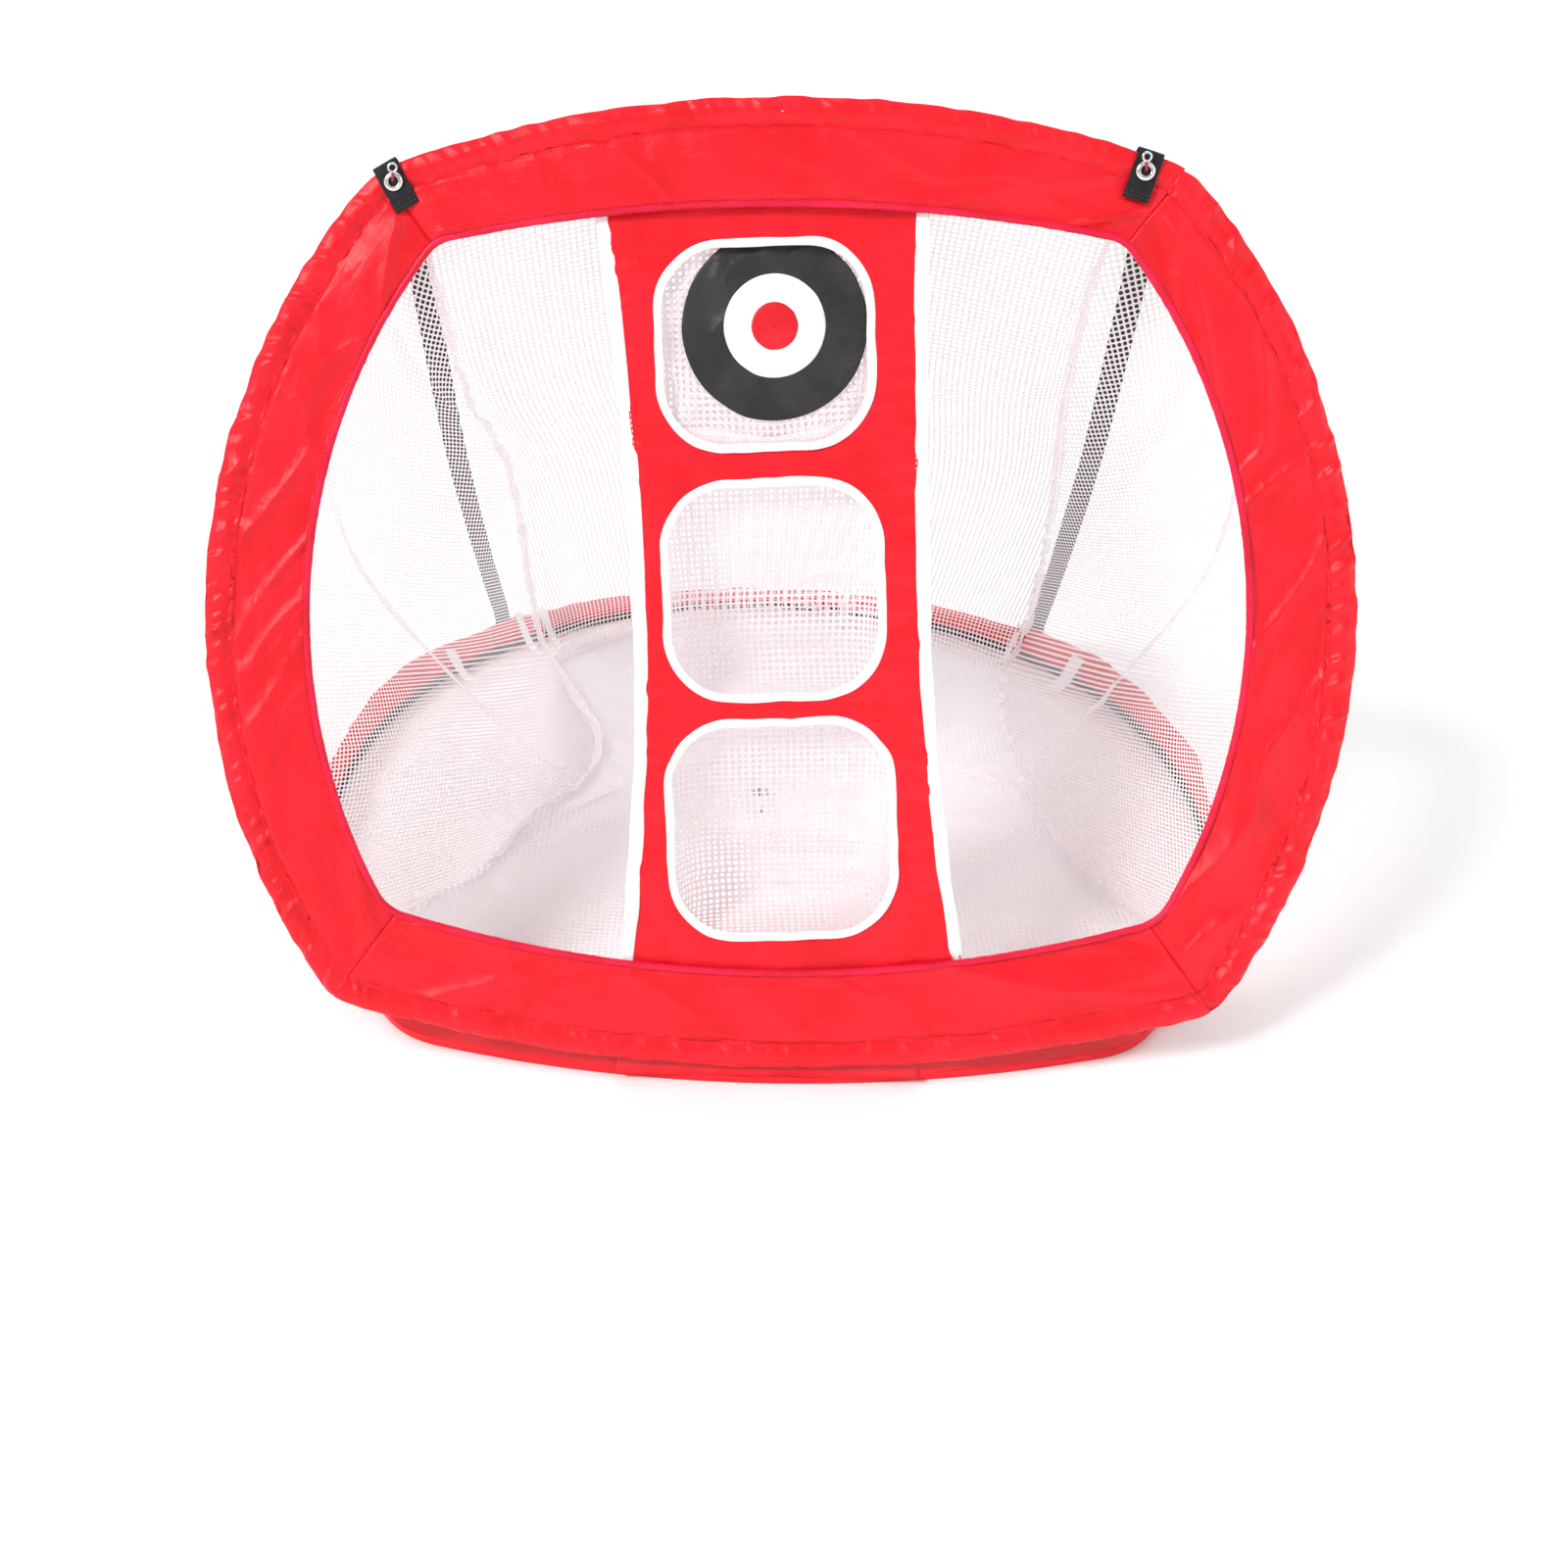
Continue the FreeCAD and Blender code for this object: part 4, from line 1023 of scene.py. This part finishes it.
def base_quarter(word, inset=0.0):
    return quarter(FOOTPRINT, {"rear": "top", "front": "bottom"}.get(word, word), inset, BASE_LOW, BASE_HIGH)


def base_sleeve(word, width, name, finish, node, slot, seed):
    """The bound channel that holds the floor wire."""
    first, last = base_quarter(word, SLEEVE / 2)
    _, length = FOOTPRINT.spaced(first, last, 2, SLEEVE / 2)
    count = int(length / 3.5)
    phi, length = FOOTPRINT.spaced(first, last, count, SLEEVE / 2)
    s = np.linspace(0, length, count)[:, None]
    ring = np.linspace(0, 2 * math.pi, 20, endpoint=False)[None, :]
    c, sn = np.cos(ring), np.sin(ring)
    inset = SLEEVE / 2 + np.sign(c) * np.abs(c) ** 0.8 * np.where(c > 0, width - SLEEVE / 2, SLEEVE / 2)
    lean = s + inset * 0.7
    wrinkle = noise(lean / 9, ring * 1.2, seed) * 0.45 + creases(lean / 16, ring, seed + 1) * 0.6 - 0.3
    flat_front = width > SLEEVE + 1
    rise = np.where(c > 0.1, 6.3 - 4.9 * smooth((c - 0.1) / 0.9) * flat_front, 6.3)
    rise = np.where(sn > 0, np.minimum(rise, 2.9), rise) if flat_front else rise
    z = 6.4 + np.sign(sn) * np.abs(sn) ** 0.8 * (rise + wrinkle * (sn > -0.3))
    z = np.maximum(z, 0.0)
    outermost = 3.4 if flat_front else 0.0
    flat = FOOTPRINT.at(phi[:, None] + 0 * ring, np.maximum(inset + wrinkle * 0.4, outermost))
    piece = tube(name, floor_frame(flat[..., 0], flat[..., 1], z), finish)
    return settle(piece, "base", slot, node)


for word in ("left", "right", "rear"):
    node = f"base_binding_{word}"
    base_sleeve(word, SLEEVE, node + "_fold", WEBBING, node, "black_webbing", 101)
base_sleeve("front", 30.0, "base_front_sleeve_cloth", RED, "base_front_sleeve", "red_nylon", 105)

BAND_INSET = 6.5
BAND_LINE = ((0, 14), (330, 62), (800, 62), (1096, 36))
for word in ("left", "right", "rear"):
    first, last = base_quarter(word, BAND_INSET)
    _, length = FOOTPRINT.spaced(first, last, 2, BAND_INSET)
    count = int(length / 4.5)
    phi, length = FOOTPRINT.spaced(first, last, count, BAND_INSET)
    s = np.linspace(0, length, count)[:, None]
    t = np.linspace(0, 1, 14)[None, :]
    edge = FOOTPRINT.at(phi, BAND_INSET)
    top = np.interp(edge[:, 1], *zip(*BAND_LINE))[:, None]
    top = top - 1.5 * (1 + noise(s / 70, 0, 111 + len(word)))
    z = SLEEVE_TOP - 3 + (top - SLEEVE_TOP + 3) * t
    wave = noise(s / 46, t * 1.2, 113 + len(word)) * 3.2 * t + noise(s / 17, t * 2, 115) * 0.9 * t
    flat = FOOTPRINT.at(phi[:, None] + 0 * t, BAND_INSET + np.maximum(wave + 1.0, -4) * 1.2)
    piece = sheet_mesh(f"base_band_{word}_cloth", floor_frame(flat[..., 0], flat[..., 1], z), RED, 1.2 * MM)
    settle(piece, "base", "red_nylon", f"base_band_{word}")

# ---------------------------------------------------------------- hinge strip between the rings
x, t = np.meshgrid(np.linspace(-150, 150, 90), np.linspace(0, 1, 12), indexing="ij")
y = 3 + 24 * t
z = 10.6 + 0.7 * np.sin(math.pi * t) + noise(x / 14, t * 2, 121) * 0.35
piece = sheet_mesh("hinge_strip_cloth", floor_frame(x, y, z), RED, 0.8 * MM)
settle(piece, "base", "red_nylon", "hinge_strip")

# ---------------------------------------------------------------- netting floor
FLOOR_RINGS, FLOOR_SPOKES = 110, 360
phi, _ = FOOTPRINT.spaced(-math.pi / 2, 1.5 * math.pi, FLOOR_SPOKES + 1, SLEEVE + 1)
phi = phi[:-1]
edge = FOOTPRINT.at(phi, SLEEVE + 1)
edge[:, 1] = np.maximum(edge[:, 1], 31.5)
centre = np.array([0.0, 500.0])
r = np.linspace(0.01, 1, FLOOR_RINGS)[:, None, None]
flat = centre + (edge[None] - centre) * r
x, y = flat[..., 0], flat[..., 1]


def floor_height(x, y):
    """Slack netting on the floor: long low folds across it."""
    h = creases(x / 170 + y / 420, y / 120 - x / 500, 131) * 7 + creases(x / 95 - y / 260, y / 210, 132) * 5
    loop = np.hypot((x - 215) / 1.25, y - 500)
    h = h + 9 * np.exp(-((loop - 95) / 9) ** 2)
    return h + noise(x / 40, y / 40, 133) * 1.2 + 1.5


rim = smooth((1 - r[..., 0]) * 12)
z = 1.2 + np.maximum(floor_height(x, y), 0) * rim
verts = floor_frame(x, y, z)
faces = [tuple(f) for f in grid_faces(FLOOR_RINGS, FLOOR_SPOKES, wrap_columns=True)]
faces.append(tuple(range(FLOOR_SPOKES))[::-1])
uv = np.stack([x, y], axis=-1).reshape(-1, 2) * MM
piece = make("net_floor_mesh", verts.reshape(-1, 3), faces, NET, uv)
settle(piece, "base", "white_mesh", "net_floor")

# ---------------------------------------------------------------- catch bag walls
NET_BEHIND = -7.0


def spline(points, count):
    """A smooth line through points (Catmull-Rom), evenly spaced."""
    p = np.asarray(points, float)
    p = np.concatenate([2 * p[:1] - p[1:2], p, 2 * p[-1:] - p[-2:-1]])
    out = []
    for k in range(1, len(p) - 2):
        t = np.linspace(0, 1, 30, endpoint=False)[:, None]
        a, b, c, d = p[k - 1], p[k], p[k + 1], p[k + 2]
        curve = (2 * b) + (c - a) * t + (2 * a - 5 * b + 4 * c - d) * t ** 2 + (3 * b - a - 3 * c + d) * t ** 3
        out.append(0.5 * curve)
    out = np.concatenate(out + [p[-2:-1]])
    run = run_along(out)
    spots = np.linspace(0, run[-1], count)
    return np.stack([np.interp(spots, run, out[:, k]) for k in range(3)], axis=1)


def row_mm(points):
    return np.array(points, float) * MM


TOP_PHI = FRONT.crossing(*HIGH_MITRE, HEM_WIDTH / 2) + 0.02
LOW_PHI = FRONT.crossing(*LOW_MITRE, HEM_WIDTH / 2)
corner_flat = FRONT.at(TOP_PHI, HEM_WIDTH / 2)
CORNER = {side: panel(side * corner_flat[0], corner_flat[1], NET_BEHIND) for side in (-1, 1)}
SEAMS = {
    -1: [(-340, -223, 751), (-333, -87, 562), (-310, 43, 422), (-321, 262, 168), (-322, 352, 46),
         (-300, 330, 9)],
    1: [(315, -227, 756), (319, -89, 565), (350, 71, 369), (378, 262, 168), (384, 352, 50),
        (352, 322, 9)],
}
FLOOR_LINES = {
    -1: [(-300, 330, 9), (-262, 235, 6), (-222, 130, 5), (-226, 26, 6), (-284, -69, 5),
         (-335, -188, 5), (-395, -249, 6), (-428, -270, 8)],
    1: [(352, 322, 9), (338, 200, 6), (335, 80, 5), (347, -31, 6), (362, -130, 5),
        (392, -210, 5), (428, -270, 8)],
}
seam_lines, floor_lines = {}, {}
for side in (-1, 1):
    seam_lines[side] = spline([CORNER[side]] + list(row_mm(SEAMS[side])), 120)
    floor_lines[side] = spline(row_mm(FLOOR_LINES[side]), 90)


def ruled(a, b, count):
    t = np.linspace(0, 1, count)[None, :, None]
    return a[:, None] * (1 - t) + b[:, None] * t


def wrinkle_normal(points):
    """Unit normals of a grid."""
    du, dv = np.gradient(points, axis=0), np.gradient(points, axis=1)
    normal = np.cross(du, dv)
    length = np.linalg.norm(normal, axis=2)[..., None]
    return normal / np.maximum(length, 1e-9)


SIDE_COLUMNS = 84
side_grids = {}
for side, word in ((-1, "left"), (1, "right")):
    back = np.concatenate([seam_lines[side], floor_lines[side][1:]])
    back = resample(back, 0.0062)
    count = len(back)
    phi, _ = FRONT.spaced(TOP_PHI, LOW_PHI, count, HEM_WIDTH / 2)
    flat = FRONT.at(phi, HEM_WIDTH / 2)
    front = panel(side * flat[:, 0], flat[:, 1], NET_BEHIND)
    points = ruled(front, back, SIDE_COLUMNS)
    t = np.linspace(0, 1, SIDE_COLUMNS)[None, :]
    s = np.linspace(0, 1, count)[:, None]
    open_middle = np.sin(math.pi * t) * np.sin(math.pi * np.clip(s * 1.1, 0, 1))
    points[..., 2] -= open_middle * 0.022
    points[..., 0] += side * open_middle * 0.012
    normal = wrinkle_normal(points)
    folds = noise(s * 5 + t * 1.5, t * 2 + s * 3, 141 + side) * 9
    folds = folds + creases(s * 7 - t * 2, t * 1.2, 143 + side) * 7
    fine = noise(s * 30, t * 5, 145 + side) * 1.3
    amount = np.sin(math.pi * t) ** 0.7 * smooth(s * 8) * smooth((1 - s) * 8)
    points = points + normal * ((folds + fine) * amount * MM)[..., None]
    points[..., 2] = np.maximum(points[..., 2], 0.0035)
    side_grids[side] = points
    piece = sheet_mesh(f"net_side_{word}_mesh", points, NET)
    settle_blend(piece, "white_mesh", f"net_side_{word}")

ROOF_ACROSS, ROOF_DOWN = 110, 120
top_phi = np.linspace(math.pi - TOP_PHI, TOP_PHI, ROOF_ACROSS)
flat = FRONT.at(top_phi, HEM_WIDTH / 2)
top_line = panel(flat[:, 0], flat[:, 1], NET_BEHIND)
ROOF_FOOT = [(-300, 330, 8), (-210, 420, 5), (-80, 478, 5), (60, 486, 5), (230, 432, 5), (350, 330, 8)]
foot_line = spline(row_mm(ROOF_FOOT), ROOF_ACROSS)
left = resample(seam_lines[-1], 0.001)
left = left[np.linspace(0, len(left) - 1, ROOF_DOWN).astype(int)]
righter = resample(seam_lines[1], 0.001)
righter = righter[np.linspace(0, len(righter) - 1, ROOF_DOWN).astype(int)]
a = np.linspace(0, 1, ROOF_ACROSS)[None, :, None]
b = np.linspace(0, 1, ROOF_DOWN)[:, None, None]
sides = left[:, None] * (1 - a) + righter[:, None] * a
ends = top_line[None] * (1 - b) + foot_line[None] * b
corners = left[0] * (1 - a) * (1 - b) + righter[0] * a * (1 - b) + left[-1] * (1 - a) * b + righter[-1] * a * b
points = sides + ends - corners
a, b = a[..., 0], b[..., 0]
normal = wrinkle_normal(points)
sag = np.sin(math.pi * a) * np.sin(math.pi * np.clip(b, 0, 1)) ** 0.8
points[..., 2] -= sag * 0.035
folds = noise(a * 3 + b, b * 2.2, 151) * 10 + creases(a * 4 + b * 1.5, b * 2, 153) * 8
folds = folds + creases(a * 2 - b * 2, b * 3 + a, 154) * 6
amount = np.clip(np.sin(math.pi * a), 0, 1) ** 0.6 * smooth(b * 7) * smooth((1 - b) * 9)
points = points + normal * ((folds - 8 + noise(a * 24, b * 12, 155) * 1.3) * amount * MM)[..., None]
points[..., 2] = np.maximum(points[..., 2], 0.0035)
piece = sheet_mesh("net_roof_mesh", points, NET)
settle_blend(piece, "white_mesh", "net_roof")


def ribbon(path, across, width, ruffle, seed, count_across=5, frill=0.0):
    """A narrow strip along a path, with a frilled edge."""
    run = run_along(path)[:, None]
    t = np.linspace(-0.5, 0.5, count_across)[None, :]
    along = unit(np.gradient(path, axis=0))
    across = unit(across - along * (across * along).sum(1)[:, None])
    normal = np.cross(along, across)
    wide = width * (1 + 0.35 * noise(run / 0.03, 0, seed))
    wave = noise(run / 0.012, t * 1.5, seed + 1) * ruffle * (0.4 + np.abs(t) * 2)
    wave = wave + np.sin(run / 0.009) * frill * t
    return path[:, None] + across[:, None] * (t * wide)[..., None] + normal[:, None] * wave[..., None]


# ruffled seams of the bag
for side, word in ((-1, "left"), (1, "right")):
    whole = np.concatenate([seam_lines[side], floor_lines[side][1:]])
    path = resample(whole, 0.004)
    path[:, 2] = np.maximum(path[:, 2], 0.010)
    inward = np.broadcast_to(np.array([-side * 0.8, -0.5, 0.35]), path.shape)
    path = path + inward * 0.004
    grids = [ribbon(path, inward, 0.011, 0.0035, 161 + side, frill=0.002)]
    piece = join_grids(f"bag_seam_{word}", grids, NET_DOUBLE)
    settle_blend(piece, "white_mesh")
    # straight seam down the middle of the side wall
    grid = side_grids[side]
    rows = grid.shape[0]
    line = [grid[3, int(0.02 * (SIDE_COLUMNS - 1))]]
    for down, share in ((0.2, 0.16), (0.42, 0.36), (0.62, 0.62), (0.80, 0.97)):
        line.append(grid[int(rows * down), int(share * (SIDE_COLUMNS - 1))])
    path = spline(line, 180)
    path[:, 2] = np.maximum(path[:, 2], 0.008)
    path = path + np.array([-side * 0.004, -0.003, 0.003])
    strips = [ribbon(path, np.broadcast_to(np.array([0.9, 0.3, 0.0]), path.shape), 0.006, 0.0008, 165 + side)]
    piece = join_grids(f"bag_side_seam_{word}", strips, NET_DOUBLE)
    settle_blend(piece, "white_mesh")

# doubled strips sewn flat on the left of the bag's floor
FLOOR_STRIPS = (
    (((-360, 100, 6), (-318, -60, 6), (-300, -118, 7)), 5),
    (((-344, 60, 6), (-290, -20, 6), (-268, -96, 7)), 4),
    (((-305, -120, 8), (-250, -62, 8), (-186, 0, 8)), 15),
    (((-292, -146, 7), (-240, -116, 8), (-180, -80, 8)), 12),
    (((-352, -182, 7), (-322, -150, 8), (-296, -116, 8)), 13),
)
strips = []
for number, (line, width) in enumerate(FLOOR_STRIPS):
    path = spline(row_mm(line), 70)
    way = np.cross(np.gradient(path, axis=0), np.array([0, 0, 1.0]))
    strips.append(ribbon(path, way, width * MM, 0.0012, 191 + number, 6))
piece = join_grids("bag_floor_strips", strips, NET_DOUBLE)
settle(piece, "base", "white_mesh")

# ---------------------------------------------------------------- ties from the bag to the floor ring
TIES = ((145.6, 16), (131.2, 10), (126.8, 9), (75.2, 14), (45.4, 10), (33.5, 20), (24.3, 9))
tie_grids = []
for angle, width in TIES:
    phi = angle * DEG
    rows = ((60, 5), (34, 12), (12, 40), (4.5, 50.5), (2.5, 50), (1.5, 36), (1.2, 20))
    line = []
    for inset, z in rows:
        x, y = FOOTPRINT.at(phi, inset)
        line.append(floor_frame(x, y, z))
    path = spline(line, 60)
    round_way = np.array([-math.sin(phi), math.cos(phi), 0.0])
    round_way = np.broadcast_to(round_way, path.shape)
    tie_grids.append(ribbon(path, round_way, width * MM, 0.0006, 171 + int(angle), 7))
piece = join_grids("bag_ties", tie_grids, TAPE)
settle(piece, "base", "white_mesh")

# ---------------------------------------------------------------- stay straps and their anchors
STRAP_STEPS, STRAP_HALF = 240, 12.5
strap_threads = []
for side, word in ((-1, "left"), (1, "right")):
    anchor_low, anchor_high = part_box(f"strap_anchor_{word}")
    foot = np.array([(anchor_low.x + anchor_high.x) / 2, (anchor_low.y + anchor_high.y) / 2, 0])
    outward = foot / np.linalg.norm(foot)
    tangent = np.array([-outward[1], outward[0], 0.0])
    top = panel(side * 347.0, 838.0, -25.0)
    behind = turned(0.0, 0.0, -1.0)
    knee = foot + outward * 0.009 + np.array([0, 0, 0.064])
    bow = np.array([side * 0.012, 0.006, -0.006])
    line = [
        panel(side * 353.0, 864.0, -9.5), panel(side * 350.0, 856.0, -15.0), panel(side * 348.5, 847.0, -21.0),
    ]
    for along_run in (0.0, 0.02, 0.06, 0.18, 0.5, 0.8, 0.94, 0.985, 1.0):
        line.append(top * (1 - along_run) + knee * along_run + bow * math.sin(math.pi * along_run))
    beside_anchor = ((0.0062, 0.056), (0.0045, 0.048), (0.0036, 0.038), (0.0032, 0.028), (0.0032, 0.018))
    for out_by, up_by in beside_anchor:
        line.append(foot + outward * out_by + np.array([0, 0, up_by]))
    path = spline(line, STRAP_STEPS)
    share = np.linspace(0, 1, STRAP_STEPS)[:, None]
    face = behind * (1 - smooth(share * 1.1)) + outward * smooth(share * 1.1)
    face = face + np.array([0, 0, 0.45]) * np.sin(math.pi * share)
    along = unit(np.gradient(path, axis=0))
    across = unit(np.cross(along, face))
    normal = np.cross(across, along)
    x = np.linspace(-STRAP_HALF, STRAP_HALF, 20)[None, :]
    rib = 0.14 * np.abs(np.sin(x * 2.1)) + noise(share * 22, x / 9, 181 + side) * 0.8
    points = path[:, None] + across[:, None] * (x * MM)[..., None] + normal[:, None] * (rib * MM)[..., None]
    piece = sheet_mesh(f"strap_{word}_webbing", points, WEBBING, 1.6 * MM)
    settle_blend(piece, "black_webbing", f"strap_{word}")
    a, b = np.meshgrid(np.linspace(-13, 13, 24), np.linspace(0, 1, 26), indexing="ij")
    height = 14 + 33 * b
    lift = 1.2 + 0.25 * np.abs(np.sin(a * 1.9)) + noise(a / 9, b * 3, 185) * 0.3
    points = foot + tangent * (a * MM)[..., None] + np.array([0, 0, 1.0]) * (height * MM)[..., None]
    points = points + outward * (lift * MM)[..., None]
    piece = sheet_mesh(f"strap_anchor_{word}_patch", points, WEBBING, 1.4 * MM)
    settle(piece, "base", "black_webbing", f"strap_anchor_{word}")
    corners = [(-10, 18), (10, 18), (10, 42), (-10, 42), (-10, 18), (10, 42)]
    box = [foot + tangent * cx * MM + np.array([0, 0, cz * MM]) + outward * 0.0045 for cx, cz in corners]
    strap_threads.append(thread(np.array(box), outward))
piece = stitches("anchor_stitches", strap_threads, THREAD_BLACK, length=2.4 * MM, pitch=3.2 * MM)
settle(piece, "base", "black_webbing")

# ---------------------------------------------------------------- CAD nodes that keep their own shape
KEPT = {
    "front_hoop": STEEL, "base_hoop": STEEL,
    "front_hoop_ferrule": FERRULE, "base_hoop_ferrule": FERRULE,
}
for node, finish in KEPT.items():
    mesh = frame["nodes"][node].data
    mesh.materials.clear()
    mesh.materials.append(finish)

# ---------------------------------------------------------------- floor and light
floor_finish = Finish("pale_floor", (0.95, 0.95, 0.95), 0.9, Specular_IOR_Level=0.1)
floor_finish.bump((floor_finish.cloud(3, 2), 0.001, 0.05))
# the floor sweeps up far away, so that no horizon shows
SWEEP_RADIUS, FLAT_RADIUS, SWEEP_RISE = 24, 8, 0.035
GROUND_RINGS, GROUND_SPOKES = 60, 96
around = np.linspace(0, 2 * math.pi, GROUND_SPOKES, endpoint=False)
reach, around = np.meshgrid(np.linspace(0.01, SWEEP_RADIUS, GROUND_RINGS), around, indexing="ij")
rise = SWEEP_RISE * np.maximum(reach - FLAT_RADIUS, 0) ** 2
sweep = np.stack([reach * np.cos(around), reach * np.sin(around), rise], axis=-1)
faces = [tuple(f) for f in grid_faces(GROUND_RINGS, GROUND_SPOKES, wrap_columns=True)]
faces.append(tuple(range(GROUND_SPOKES))[::-1])
ground = make("ground", sweep.reshape(-1, 3), faces, floor_finish.material, sweep[..., :2].reshape(-1, 2))
ground.location.z = -0.0006

world = bpy.data.worlds.new("studio")
scene.world = world
world.use_nodes = True
backdrop = world.node_tree.nodes["Background"]
backdrop.inputs[0].default_value = (1, 1, 1, 1)
sky_place = world.node_tree.nodes.new("ShaderNodeTexCoord")
sky_parts = world.node_tree.nodes.new("ShaderNodeSeparateXYZ")
sky_range = world.node_tree.nodes.new("ShaderNodeMapRange")
for socket, value in (("From Min", 0.0), ("From Max", 0.75), ("To Min", 0.14), ("To Max", 0.55)):
    sky_range.inputs[socket].default_value = value
world.node_tree.links.new(sky_place.outputs["Generated"], sky_parts.inputs[0])
world.node_tree.links.new(sky_parts.outputs[2], sky_range.inputs["Value"])
world.node_tree.links.new(sky_range.outputs[0], backdrop.inputs[1])


def soft_sun(name, towards_light, strength, spread):
    """A broad soft light from one direction, even over the whole floor."""
    data = bpy.data.lights.new(name, "SUN")
    data.energy, data.angle = strength, spread * DEG
    item = bpy.data.objects.new(name, data)
    item.rotation_euler = (-Vector(towards_light)).to_track_quat("-Z", "Y").to_euler()
    scene.collection.objects.link(item)


soft_sun("key", (-0.80, -0.62, 0.95), 2.25, 16)
soft_sun("fill", (0.9, -0.5, 0.6), 0.5, 40)
soft_sun("back", (0.1, 0.7, 0.9), 0.75, 40)
